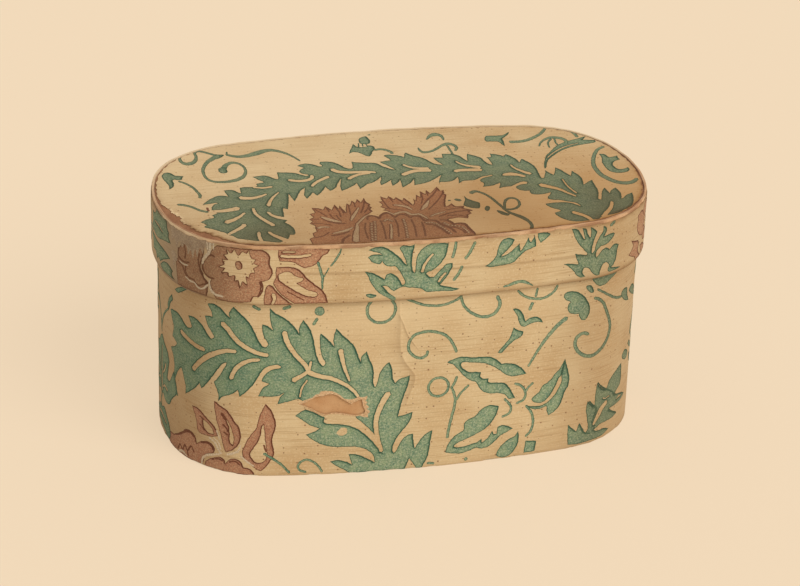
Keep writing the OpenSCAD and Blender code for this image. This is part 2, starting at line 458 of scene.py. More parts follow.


# distemper printed from a wood block: chalky and dead matt, mottled where the block took up less colour,
# fuller along one side of each shape and where painted shade is marked, dulled by dirt and by painted shade
def distemper(name, deep, mid, thin, full, spread, dulled):
    material, tree, shader = newMaterial(name, 0.9, 1.45)
    sheet = onSheet(tree)
    mottle = noiseAt(tree, sheet, inkLook["mottle"], 4, Roughness=0.75)
    patch = noiseAt(tree, sheet, inkLook["patch"], 4, Roughness=0.65)
    colour = blend(tree, remap(tree, patch, 0.4, 0.6), deep, mid)
    colour = blend(tree, remap(tree, mottle, 0.44, 0.63, spread), colour, thin)
    colour = blend(tree, compute(tree, "MULTIPLY", markAt(tree, "pooledAndShaded"), 0.9), colour, full)
    colour = blend(tree, compute(tree, "MULTIPLY", markAt(tree, "soilAndShade"), dulled), colour, inkLook["dirtAndShade"])
    chalky = remap(tree, noiseAt(tree, sheet, inkLook["grain"], 2), 0.3, 0.7, 1.28, 0.72)
    dressShader(tree, shader, blend(tree, 1, colour, chalky, "MULTIPLY"), (mottle, 0.3, 0.1))
    return material


boardLook = {"cloud": 14, "fibre": 0.9, "bleached": "#EBD0A4", "soilAndShade": "#74442A"}


# pasteboard: grey-brown pulp pressed in sheets; dull, with short fibres and darker flecks
def pulpBoard(name, light, dark, fleckColour):
    material, tree, shader = newMaterial(name, 0.92, 1.45)
    place = onObject(tree)
    cloud = noiseAt(tree, place, boardLook["cloud"], 5)
    fibre = noiseAt(tree, place, boardLook["fibre"], 3, Distortion=1.5)
    colour = blend(tree, remap(tree, cloud, 0.35, 0.65), light, dark)
    colour = blend(tree, remap(tree, fibre, 0.56, 0.72, 0.7), colour, fleckColour)
    for mark in ("bleached", "soilAndShade"):
        colour = blend(tree, markAt(tree, mark), colour, boardLook[mark])
    dressShader(tree, shader, colour, (fibre, 0.5, 0.2))
    return material


liningLook = {"cream": "#DCCBA6", "tea": "#BFA073", "rib": "#C9B48A", "stain": 50, "ribs": 9}


# plain lining paper: unbleached laid paper; pale cream with faint ribs and tea-coloured stains
def liningPaper():
    material, tree, shader = newMaterial("laid_lining_paper", 0.85, 1.45)
    place = onObject(tree)
    stain = remap(tree, noiseAt(tree, place, liningLook["stain"], 5), 0.45, 0.75)
    rib = bandsAt(tree, place, liningLook["ribs"], Distortion=1.2)
    colour = blend(tree, stain, liningLook["cream"], liningLook["tea"])
    colour = blend(tree, compute(tree, "MULTIPLY", rib, 0.18), colour, liningLook["rib"])
    dressShader(tree, shader, colour, (rib, 0.2, 0.1))
    return material


threadLook = {"dark": "#B7A37A", "light": "#D3C49E", "slant": 0.6, "ply": 2.4}


# linen thread: waxed and twisted; dull straw with a slant of plies
def linenThread():
    material, tree, shader = newMaterial("waxed_linen_thread", 0.7, 1.5)
    place = onObject(tree)
    slant = addNode(tree, "ShaderNodeMapping", {"Rotation": (0, threadLook["slant"], 0), "Vector": place})
    ply = bandsAt(tree, slant.outputs[0], threadLook["ply"])
    dressShader(tree, shader, blend(tree, ply, threadLook["dark"], threadLook["light"]), (ply, 0.6, 0.2))
    return material


wallpaper = wallpaperGround()
lining = liningPaper()
board = pulpBoard("tan_pasteboard", "#CF9F6E", "#C18C5B", "#AD794D")
wornBoard = pulpBoard("worn_peach_pasteboard", "#D9AE82", "#C69467", "#A8744C")
brownBoard = pulpBoard("rubbed_brown_pasteboard", "#A5744E", "#845434", "#4F2A16")
thread = linenThread()
# each ink deep, middling, thin and pooled, how far it thins and how much dirt and painted shade dull it
inks = {
    "green": distemper("green_distemper", "#668063", "#86956D", "#AFB28C", "#3C6549", 0.95, 1),
    "greenLine": distemper("dark_green_distemper", "#375843", "#44654A", "#6B7F5C", "#2D4D39", 0.5, 0.8),
    "red": distemper("red_distemper", "#AA714F", "#B8835D", "#CFA57A", "#925E46", 0.8, 0.5),
    "redStained": distemper("stained_red_distemper", "#A5643E", "#B27449", "#C79263", "#884D32", 0.8, 0.5),
    "redPale": distemper("thin_red_distemper", "#D0A375", "#D8AF82", "#E2BE91", "#BB8B63", 0.6, 0.6),
    "redLine": distemper("dark_red_distemper", "#6D3A24", "#79472D", "#90623F", "#61331D", 0.5, 0.4),
    "veil": distemper("rubbed_red_distemper", "#A78A6D", "#B39776", "#C0A584", "#98795D", 0.9, 0.3),
    "chalk": distemper("rubbed_pale_distemper", "#CDB290", "#D3BB98", "#DECAA8", "#C4A784", 0.6, 0.25),
    "fibre": distemper("torn_paper_fibre", "#CDA376", "#C4986A", "#DDB98E", "#C4986A", 0.7, 0.5),
}
print("materials made")

# the block-printed pattern of the wall, in mm round the wall from the front's middle and up from the floor;
# a third value marks a sharp tip
bodyPrint = {
    "red": [
        [(-164, 42.5, 1), (-160, 42.7), (-156, 41), (-152, 38), (-147.5, 35), (-144.5, 32), (-142.5, 29),
         (-142.5, 26, 1), (-147, 24.5), (-152, 24), (-157.5, 24.3), (-159.5, 26.5, 1), (-159.8, 30),
         (-161, 35), (-163, 39.5)],
        [(-145, 52.3, 1), (-141, 50), (-136, 47.5), (-132.5, 43.5), (-130.5, 40), (-127.5, 36.5),
         (-126, 31), (-126.2, 26), (-128.5, 21), (-132, 17.5), (-136.5, 15, 1), (-138.5, 20),
         (-139.8, 26), (-141.5, 32), (-143.5, 38), (-144.5, 44), (-145.3, 48)],
        [(-109.5, 55, 1), (-106, 51), (-103.5, 45), (-102.3, 39), (-103.5, 33), (-104.8, 28), (-104, 22),
         (-103.3, 17), (-105, 13), (-107, 9.5), (-110, 5.5), (-112.5, 3.8), (-116, 5.5), (-120, 9),
         (-123.5, 12.5), (-125, 17), (-123.5, 22), (-121.5, 27), (-118.5, 32), (-115.5, 36.5),
         (-114.3, 42), (-113, 47), (-111.5, 50.5)],
        [(-195, 0, 1), (-195, 8), (-187, 10), (-180, 14.5), (-175, 18), (-171, 21.5), (-166, 22.3),
         (-162, 20.5), (-160.5, 17.5), (-160, 15, 1), (-156, 18), (-151, 19.7), (-146.5, 18.5),
         (-144.8, 15), (-146, 12), (-150, 10.5), (-153, 7), (-154, 3), (-155, 0, 1)],
        [(-153, 0, 1), (-152, 4), (-148, 7.5), (-144, 9.5), (-140.5, 10.5), (-137.5, 9), (-137, 6, 1),
         (-134.5, 9.5), (-131, 11.3), (-127, 10.5), (-124.8, 8), (-124, 5.5, 1), (-120, 5), (-117.5, 3),
         (-116.5, 0, 1)],
    ],
    "eye": [
        [(-154.5, 35.5, 1), (-150, 33.5), (-146.5, 30), (-145.5, 26.8, 1), (-150, 26.8), (-153.5, 30)],
        [(-136.8, 41.5, 1), (-134, 37), (-132, 32), (-130.8, 26), (-131.3, 22, 1), (-133.2, 23),
         (-134, 27), (-133.4, 29.5, 1), (-134.2, 32), (-133.8, 34.5, 1), (-135.3, 37.5)],
        [(-110.8, 39.5, 1), (-110, 34), (-109.5, 27), (-108.5, 20), (-108.3, 15), (-110.5, 11),
         (-114.5, 9.8), (-117.5, 12), (-119.5, 16), (-117.5, 20.5), (-114.5, 25.5), (-112.5, 31),
         (-111.8, 36.5)],
    ],
    "shade": [
        ([(-187, 10), (-180, 13.5), (-175, 17), (-170, 20.3), (-166, 21.2), (-162.5, 19.5)],
          [0.8, 1.8, 2]),
        ([(-156, 17), (-151, 18.5), (-147.5, 17.3), (-146, 14.5)], [0.8, 1.6, 1.2]),
        ([(-181, 2), (-178, 6.5), (-175, 4), (-172, 9), (-169.5, 5.5), (-165.5, 10.5), (-162.5, 7)],
          [1.4]),
        ([(-169.5, 5.5), (-168.5, 2)], [1.4]),
        ([(-139.6, 44), (-136.8, 40.5)], [2.4]),
        ([(-138.5, 36), (-136, 33.4), (-135, 31)], [1.3]),
        ([(-138, 30.2), (-135, 28.6)], [1.3]),
        ([(-157, 37), (-153.5, 35.4)], [1.2]),
        ([(-153, 27.5), (-157, 31)], [1]),
        ([(-110.4, 23.5), (-108.6, 18.5)], [1.1]),
        ([(-147, 7), (-142, 8.8), (-138.8, 7.8)], [1.1]),
        ([(-134, 8), (-130, 9.4), (-126.5, 7)], [1.1]),
    ],
    "chalk": [
        ([(-155.5, 1), (-154.4, 6), (-151, 9), (-146, 11), (-142, 12.3), (-139.5, 14)], [1.4, 1.8, 1]),
        ([(-149, 23.2), (-144.5, 20.3), (-142, 16), (-140.5, 13.5)], [1.2, 1.6]),
        ([(-146, 24), (-142.3, 21.5), (-140.3, 16.5)], [0.8, 1.2]),
        ([(-143.2, 30), (-141.2, 24)], [1.4, 0.8]),
        ([(-126, 22.5), (-127.5, 18), (-131.5, 15.2), (-135.5, 13.7)], [1, 1.8, 1.4]),
        ([(-126, 14), (-122, 10.6), (-117, 7.2)], [1, 1.6, 0.8]),
        ([(-180, 0.6), (-175, 2.6), (-170, 1)], [1.4, 2, 1]),
    ],
    "leaf": [
        [(-192, 103), (-187, 104.8), (-181, 105.5), (-176, 103.8), (-172, 101), (-168.5, 99.5),
         (-164.5, 101.5), (-166, 105), (-168, 108.5, 1), (-164, 109.5), (-160, 109), (-156, 107),
         (-152.5, 103.5), (-150, 100), (-147.5, 98.3), (-145.3, 100), (-147.5, 103.5), (-150.5, 108),
         (-152.5, 113.7, 1), (-149, 114.8), (-146.5, 114.3, 1), (-147.2, 118), (-150.5, 123.3, 1),
         (-146, 124.4), (-141, 123), (-137, 119.5), (-133.5, 116.3, 1), (-134.5, 119.5),
         (-131.5, 125.3, 1), (-126, 120.5), (-121, 115.5), (-117.5, 109.5), (-115, 103.5), (-112.5, 99),
         (-110, 97.3), (-108, 99.5), (-110.5, 104), (-112, 109.5), (-112, 114.3, 1), (-108.5, 113),
         (-105, 109.7, 1), (-106.8, 117), (-107.3, 126, 1), (-103, 122), (-98, 119), (-93, 114.5),
         (-88.5, 108.5), (-87.5, 105.5, 1), (-88, 110.5), (-85.3, 117, 1), (-81, 111), (-78.5, 104),
         (-77.2, 97), (-76, 91), (-74, 85.5), (-71.3, 82.3), (-70, 84.5), (-72.5, 90), (-73.7, 97),
         (-74, 103), (-73.7, 106.7, 1), (-70, 103.5), (-66.5, 99.5), (-64.2, 96.5, 1), (-65, 102),
         (-63.2, 110, 1), (-59, 105), (-54, 100), (-50.5, 95.5), (-48.5, 90), (-46, 83.3, 1),
         (-46.2, 87.5), (-42.5, 92, 1), (-40.5, 86), (-38, 80), (-37.3, 74), (-37.5, 68), (-36, 64.7),
         (-34.7, 68), (-33.5, 74), (-31, 79), (-27, 83, 1), (-24.8, 77), (-24.3, 71), (-22.5, 66.5, 1),
         (-19.5, 69.5), (-15.5, 70.5), (-12.5, 71.7, 1), (-13.5, 65), (-16, 57), (-18, 50), (-19, 45),
         (-20, 41, 1), (-15, 42), (-9.8, 43.7, 1), (-11, 38), (-14, 33), (-18, 28), (-21.5, 22),
         (-23, 16), (-22, 13.3), (-20.2, 15), (-17, 22), (-13, 26), (-9, 26.8, 1), (-8.6, 21.5),
         (-7.5, 15.5, 1), (-4, 21.5), (0, 26), (4.5, 28.3, 1), (3.3, 20), (2.5, 12), (1, 6), (-1, 2.5),
         (-2, 0, 1), (-6, 0, 1), (-8.5, 4), (-11, 8, 1), (-12.5, 4), (-14, 0, 1), (-52, 0, 1), (-57, 3.5),
         (-62, 6.5), (-65.5, 9.8, 1), (-60, 10.4), (-54, 8.6), (-50.5, 6.3, 1), (-51.5, 10),
         (-53, 14.5, 1), (-48, 14.2), (-43, 12), (-38, 9), (-35, 7, 1), (-35.5, 11), (-37.5, 14.5),
         (-42, 18), (-48, 20), (-55, 20.5), (-64, 21), (-71, 23), (-77, 26.5), (-82.3, 31, 1), (-77, 33),
         (-73, 35.3, 1), (-80, 38.5), (-85, 42.5), (-89.5, 45.5, 1), (-86, 48.5), (-83, 50), (-78, 48.5),
         (-73, 45.5), (-69.8, 43.5), (-70.3, 40.5), (-68, 38.8), (-62, 38.2), (-55, 37), (-48, 34),
         (-42, 29), (-37, 23.5), (-33, 18), (-30.5, 14.5, 1), (-33.5, 22), (-35.5, 28), (-38, 31.5),
         (-43, 37), (-48.5, 42.3, 1), (-51, 46), (-57, 49.5), (-64, 51.5), (-70, 50.5, 1), (-68.5, 54),
         (-66, 56.5, 1), (-72, 57), (-78, 56), (-83, 54.5, 1), (-85, 57), (-87.5, 58.3), (-95, 56.4),
         (-101.5, 54.7, 1), (-100, 59.5), (-96.9, 63.3, 1), (-101.3, 60.9), (-107.5, 60.5),
         (-114.4, 60.8, 1), (-111.3, 67), (-106.9, 70.1, 1), (-112.3, 72, 1), (-110, 77), (-105, 80.8),
         (-100, 81.7), (-99.5, 83), (-103, 84.3), (-110, 82), (-113.8, 76.4), (-117.5, 69.5),
         (-123.1, 62.6), (-126.9, 59.1, 1), (-128.1, 63.9, 1), (-132.5, 60.1), (-138.8, 57),
         (-142.3, 52.8, 1), (-142, 58), (-145.5, 66.5, 1), (-142, 71), (-139, 76.5), (-136, 83),
         (-138.5, 82), (-142, 77.5), (-146.3, 70.8), (-151.9, 62.6), (-155.6, 58.5, 1), (-157.5, 62, 1),
         (-160, 58.3), (-165, 53.5), (-171.3, 48.5, 1), (-171, 54), (-173, 60), (-176, 66), (-182, 60),
         (-188, 52, 1), (-186, 62), (-188, 70), (-192, 75, 1), (-186, 78), (-182, 82), (-189, 85, 1),
         (-187, 92), (-190, 98)],
        [(57.5, 114), (61, 113.5), (64, 111), (66, 106.5), (67, 103.5, 1), (70, 105.5), (74, 106),
         (78, 104), (80, 100.8, 1), (75.5, 101.8), (71, 101.2), (67.5, 99.7), (64.5, 100), (62.5, 103),
         (61, 108), (59, 111.5)],
        [(58.7, 100, 1), (62, 97.5), (66, 96, 1), (65.5, 93.5), (62, 91), (59.5, 90), (56, 87), (53, 84),
         (50.5, 81.5), (48.5, 82.5), (51, 86), (55, 90.5), (57, 94)],
        [(13, 79), (17, 81), (23, 82.3), (30, 81), (38, 80.5), (44, 79.5), (48.5, 76.5), (51.5, 73.5, 1),
         (56, 73.3), (61, 72), (66, 68.5), (70, 63.5, 1), (65, 63), (59, 63), (54, 65.5), (50, 69),
         (45, 72.5), (39, 75.5), (31, 77), (23.5, 78), (22.5, 76), (25, 72.5), (29, 70), (33, 69.7),
         (37, 69, 1), (36.5, 66), (38.5, 64), (42.5, 63.5, 1), (42.5, 61), (45, 60), (50, 59.5), (55, 58),
         (58.5, 53.5), (62.5, 46, 1), (58, 46), (55, 49.5), (50, 51.5), (45, 51.8), (40, 53.5),
         (36, 57.5), (34, 61.5), (30, 63.5), (25, 67.5), (21, 72.5), (17, 77)],
        [(14, 10, 1), (15, 14), (17.5, 19), (21.5, 23), (26.5, 26), (26.5, 30), (29, 33.5), (34, 35.5),
         (37, 39), (41, 42), (45.5, 42.8), (51, 41.3, 1), (50, 36.5), (47, 30.5), (43, 26), (38, 23),
         (31, 19.8), (25, 17.5), (21, 15.5), (20, 13.7), (26, 13), (33, 14.5), (37, 15.5),
         (39.5, 17.5, 1), (40, 14.5, 1), (43.5, 17), (47, 22.5, 1), (48.5, 20), (50.5, 20, 1), (51, 25),
         (54, 26), (58, 25), (62, 22.5, 1), (58, 20.5), (53, 18), (49, 14), (44, 10.5), (39, 10),
         (36, 11), (31, 9.3), (25, 8), (19, 8.8)],
        [(98, 70.5, 1), (94.5, 63.5), (91, 60), (88.5, 56.5), (85.5, 54), (82.5, 52.5), (80, 48),
         (75, 43.8), (75, 42), (78, 40), (82, 39.3), (86, 41.5), (89.5, 46), (92.5, 52), (94.5, 57),
         (96, 58)],
        [(98, 70.5, 1), (100, 64), (102, 56), (101.5, 49.5), (99, 44.5), (97.5, 38.5), (95, 33.5),
         (91.5, 30.5), (88, 28.5, 1), (86.5, 32.5), (86, 36), (81, 34.7), (75, 35.8), (70.5, 38.7, 1),
         (77, 37.3), (83, 37.3), (88, 40), (92, 44.5), (94.5, 49), (96.5, 54), (96, 57, 1)],
        [(72, 11.3, 1), (80, 10, 1), (79, 2.2, 1), (71, 2, 1)],
        [(66, 20, 1), (66.8, 15), (66, 9), (63, 4), (59.5, 1.3), (54, 1), (51, 3), (52, 7), (55.5, 11.5),
         (59.5, 14.5), (64, 16.5)],
        [(94.3, 117.5), (94.5, 120), (98, 121.3), (103, 120.5), (108, 117.5), (112, 112.5),
         (114.5, 106.5), (114, 101.5), (111.5, 98), (108.5, 98.5), (106.5, 101.5), (106.3, 103.5, 1),
         (103, 103.7), (99.5, 105), (97.5, 108), (98, 111.5), (99.5, 113.2, 1), (96, 115.3)],
        [(110.8, 123.3), (113.5, 123.5), (116, 121), (116.7, 117.5), (114, 118), (111.5, 120.5)],
        [(114, 129, 1), (118, 123.5), (122, 121), (127, 121.5), (132, 124), (138, 127), (139, 129, 1)],
        [(145, 107), (146.5, 109.5), (150.5, 110.3), (154, 108.5), (154.5, 104.5), (156.5, 100.5),
         (158, 98, 1), (153, 99.5), (148, 103)],
        [(157.5, 105.3, 1), (161, 107.3), (165, 107.2), (170, 104.5), (178, 99), (186, 93, 1),
         (178, 93.5), (168, 98), (162, 101.3)],
        [(104, 3, 1), (103.5, 10), (103.3, 18.5, 1), (107, 15), (110, 12, 1), (112, 18, 1), (115, 13.5),
         (117.5, 9.5), (119.5, 12), (118, 22), (117, 28), (118, 34, 1), (121.5, 30), (124.5, 27, 1),
         (124.5, 38), (125.3, 46, 1), (128, 42.5), (132, 39), (135, 37.5, 1), (136, 40), (138, 44),
         (142, 47), (147.5, 49.5), (153, 51.5, 1), (153.5, 46), (154, 40), (153, 35), (149, 32.5),
         (146, 30.5, 1), (150, 28.5), (157, 26.5), (163, 23.5, 1), (157, 21.5), (150, 21), (140, 21, 1),
         (144, 17.5), (150.5, 13.3, 1), (145, 12), (138, 12), (131, 12), (125, 9.4, 1), (128, 7.6),
         (135, 7.2), (141, 5, 1), (135, 2.5), (129, 2), (120, 2), (110, 2)],
        [(153.5, 56.5), (156.5, 59.2), (161, 58.6), (164.5, 55.5), (164, 52), (159.5, 51.3), (155, 53.5)],
        [(169, 51.5, 1), (179, 48.5), (190, 40, 1), (179, 40.5), (171, 46)],
        [(164.5, 61, 1), (168, 62.3), (172.5, 59), (174, 54.5), (169, 57)],
        [(-212, 75, 1), (-206, 71), (-199, 68), (-195.3, 62, 1), (-197, 56), (-199.5, 47, 1), (-195, 47),
         (-190.5, 53), (-187.5, 58, 1), (-184.3, 53), (-182.5, 47), (-184, 41.5), (-189, 37),
         (-192.5, 33, 1), (-196, 28.5), (-204, 27), (-212, 30), (-215, 25, 1), (-219, 30), (-226, 27.5),
         (-236, 31, 1), (-230, 36), (-227, 41), (-234, 46, 1), (-229, 49.5), (-228, 56), (-231, 63, 1),
         (-223, 66), (-217, 72)],
        [(-238, 8, 1), (-231, 13.5), (-228, 12.3, 1), (-221, 18), (-217, 16.8, 1), (-208, 20.5),
         (-203, 18, 1), (-197, 13), (-194, 5), (-198, 1), (-208, 3.5), (-218, 5), (-228, 5)],
        [(-196, 100, 1), (-192, 108), (-188, 112), (-190, 115, 1), (-195, 110), (-198, 104)],
        [(-185, 121, 1), (-179, 125), (-173, 127.5), (-168, 128, 1), (-174, 124), (-180, 120.5)],
        [(200, 96, 1), (206, 100), (210, 108), (211, 118, 1), (204, 113), (200, 105)],
        [(170, 112, 1), (178, 113), (187, 117), (194, 125, 1), (184, 124), (176, 119)],
        [(168, 66, 1), (175, 70), (180, 77), (182, 84, 1), (174, 80), (169, 74)],
    ],
    "slit": [
        ([(-139, 111.5), (-135, 108), (-131, 103), (-126, 98.5), (-119, 94.5), (-113, 92.3),
          (-108.5, 91.5)], [3.6, 3.4, 2.6]),
        ([(-176, 93.5), (-170, 91.5), (-163, 89.5), (-157, 88.5), (-153.5, 88.5)], [3.6, 3]),
        ([(-130, 92.5), (-136, 92), (-143, 89), (-150, 84.5), (-156, 79), (-160, 74.5), (-163, 70.5)],
          [2.6, 3.8, 3.2]),
        ([(-114, 88), (-120, 87), (-126, 83.5), (-130, 79), (-133, 72)], [2.4, 3, 2.8]),
        ([(-97.5, 108), (-95.5, 101), (-92, 94.5), (-88, 89), (-84, 84.5), (-81.5, 80)], [3.4, 2.8]),
        ([(-79.5, 86), (-81.5, 79), (-86, 75.5), (-91, 72.5)], [1.5, 3.5]),
        ([(-81, 78), (-74, 75), (-66, 73), (-60, 70), (-54, 66), (-50, 62), (-47.5, 58.5)], [3.6, 2]),
        ([(-82, 72), (-85.5, 66), (-86.5, 60)], [1.2]),
        ([(-27, 59), (-30, 54), (-33, 47), (-34.7, 40), (-34.5, 32), (-33, 24), (-30.5, 15.5)], [4, 2.6]),
        ([(-60, 93.5), (-58.5, 86), (-57, 80), (-55, 74.5), (-53.5, 70.5)], [3.4, 1.4]),
        ([(124.3, 14), (128, 19.5), (131.5, 24.5), (136, 27.5)], [2, 4.4, 3.4]),
        ([(149.5, 24.6), (153, 25.2), (156.5, 24.6)], [0.8, 1.6, 0.8]),
        ([(139, 31.5), (135, 30.8), (132.5, 31.8)], [0.6, 1]),
        ([(-214, 31), (-213.7, 48), (-212.5, 66)], [2.6, 1.6]),
        ([(-211, 35), (-206, 38), (-200.5, 37)], [1.4, 2]),
        ([(-211, 46), (-206.5, 50), (-203, 56)], [1.4, 2]),
        ([(-216.5, 35), (-222, 37.5), (-228, 34.5)], [1.4, 2]),
        ([(-216.5, 46), (-221, 50), (-224.5, 56)], [1.4, 2]),
        ([(-229, 9), (-216, 12), (-203, 10.5)], [1.4, 2.4, 1.4]),
        ([(174, 47.8), (178, 45.6), (183, 42.6)], [0.8, 1.4, 0.8]),
        ([(172, 100), (177, 97), (181.5, 94.6)], [0.8, 1.4, 0.8]),
    ],
    "stem": [
        ([(-172, 71), (-178, 66.5), (-182.5, 60), (-185.5, 53.5), (-184, 48), (-182, 42.5)], [1.4, 2]),
        ([(-215, 27), (-218, 22), (-217, 16)], [1.6, 2]),
        ([(-213, 77), (-214, 86), (-219, 94), (-226, 98), (-232, 96), (-234, 90.5), (-230.5, 86.5),
          (-227, 88.5)], [1.8, 2]),
        ([(-213, 80), (-209, 89), (-203, 96), (-197, 101)], [1.6, 2, 1.4]),
        ([(-219, 95), (-226, 104), (-234, 110), (-243, 113), (-252, 116)], [1.4, 2, 1.4]),
        ([(184, 44), (181, 53), (176, 62), (171, 68)], [1.4, 2, 1.4]),
        ([(181, 83), (188, 89), (195, 92), (201, 97.5)], [1.4, 2, 1.4]),
        ([(188, 89), (193, 84), (199, 83), (202, 87), (199, 90)], [1.6, 1.8]),
        ([(186, 39), (196, 34), (204, 27), (208, 20)], [1.2, 2]),
        ([(-110, 17), (-104, 13), (-98, 8), (-93, 2)], [2, 1.5]),
        ([(-71, 2), (-73, 6), (-77, 10), (-81, 11.8), (-85, 10.5), (-87.3, 7), (-86, 4), (-82, 2.3)],
          [1.6]),
        ([(-76, 117.5), (-78.5, 113.5)], [2]),
        ([(-17, 129), (-12, 126.5), (-5, 123.5), (0, 122.5), (5, 122), (10, 122.5), (15, 124), (19, 126),
          (21, 128)], [1.8]),
        ([(20.5, 127.5), (22, 122), (25, 117.5), (29, 114), (34, 111.3), (39, 110.5), (44, 112),
          (47, 115.5), (48, 120), (46, 124.5)], [1.8, 2.5]),
        ([(60.5, 127), (64, 123.5), (68, 121), (73, 119.5), (78, 119), (83, 120.5), (87, 123.5),
          (89, 127)], [1.8]),
        ([(74.5, 127), (73.5, 121)], [1.6]),
        ([(71.5, 116.5), (69.5, 112)], [2.2]),
        ([(-1, 88.5), (-2, 85.5), (-6, 84), (-11, 86.5), (-14, 91), (-14, 96), (-11, 101), (-6, 103),
          (0, 103.5), (6, 102), (11, 99.5), (15, 95), (18, 89), (19, 86.5)], [2]),
        ([(97, 101.5), (92, 98), (87, 93), (82, 87), (77, 79.5), (73, 72.5), (71, 69)], [3.2, 1.6]),
        ([(20, 67.5), (18.5, 63), (16.5, 59.5)], [1.8]),
        ([(16.5, 60), (18.5, 55), (19.5, 50), (19, 44), (17.5, 37), (16, 29), (15, 21.5)], [1.8, 2]),
        ([(20.5, 50), (23, 54.5), (28.5, 60)], [1.6]),
        ([(55, 46), (58.5, 42), (60, 38), (58.5, 34.5), (54, 32.7)], [1.8]),
        ([(62, 57), (66, 55), (69, 51.5), (70, 47), (68.5, 43.5), (64, 41.8)], [1.8]),
        ([(70, 50), (72, 53), (75, 55.5)], [1.6]),
        ([(71, 38.5), (74.5, 34), (76.5, 28), (76.5, 22.5), (75, 18), (72, 15)], [1.8]),
        ([(2, 3), (6, 2.5)], [1.8]),
        ([(-98, 125.5), (-94, 127)], [2.4]),
        ([(-118, 127), (-114, 125)], [2.2]),
        ([(120, 119), (126, 115), (132, 111), (138, 107.5), (145, 105.5)], [1.6, 2]),
        ([(118, 113), (122, 111), (126, 107), (129, 101), (132, 94.5), (134, 88), (133, 81), (130, 75.5),
          (125, 71.3), (119, 69), (113, 70.3), (108, 74), (105, 79), (105, 84), (107.5, 87), (111, 88),
          (114.5, 86.5)], [2.2, 2.8, 2.4]),
    ],
    "leafShade": [
        ([(119.5, 33), (123, 29.3), (126, 25.6), (124.4, 20.5), (122.4, 16)], [1, 1.8, 1]),
        ([(126, 46), (130, 41.6), (134.5, 38.2), (139, 35.6), (143, 32.4)], [0.8, 1.6, 1]),
        ([(143, 32.4), (144.4, 30.6), (146.5, 28.6)], [1.4, 2.2]),
        ([(138.5, 19.8), (144, 17), (150, 13.6)], [1.6, 1]),
        ([(112.5, 17.4), (114, 13.5), (116.5, 9.5), (122, 7.6)], [1, 1.6, 1]),
    ],
    "ring": [((-33.5, 122, 9.5), 2), ((7.5, 61, 7), 1.8)],
    "dot": [(-74.5, 123, 3.3), (29, 3, 1.3)],
    "bare": [[(-61.5, 31), (-58, 29), (-54.5, 31), (-54.7, 34.5), (-58.5, 35.2)]],
}

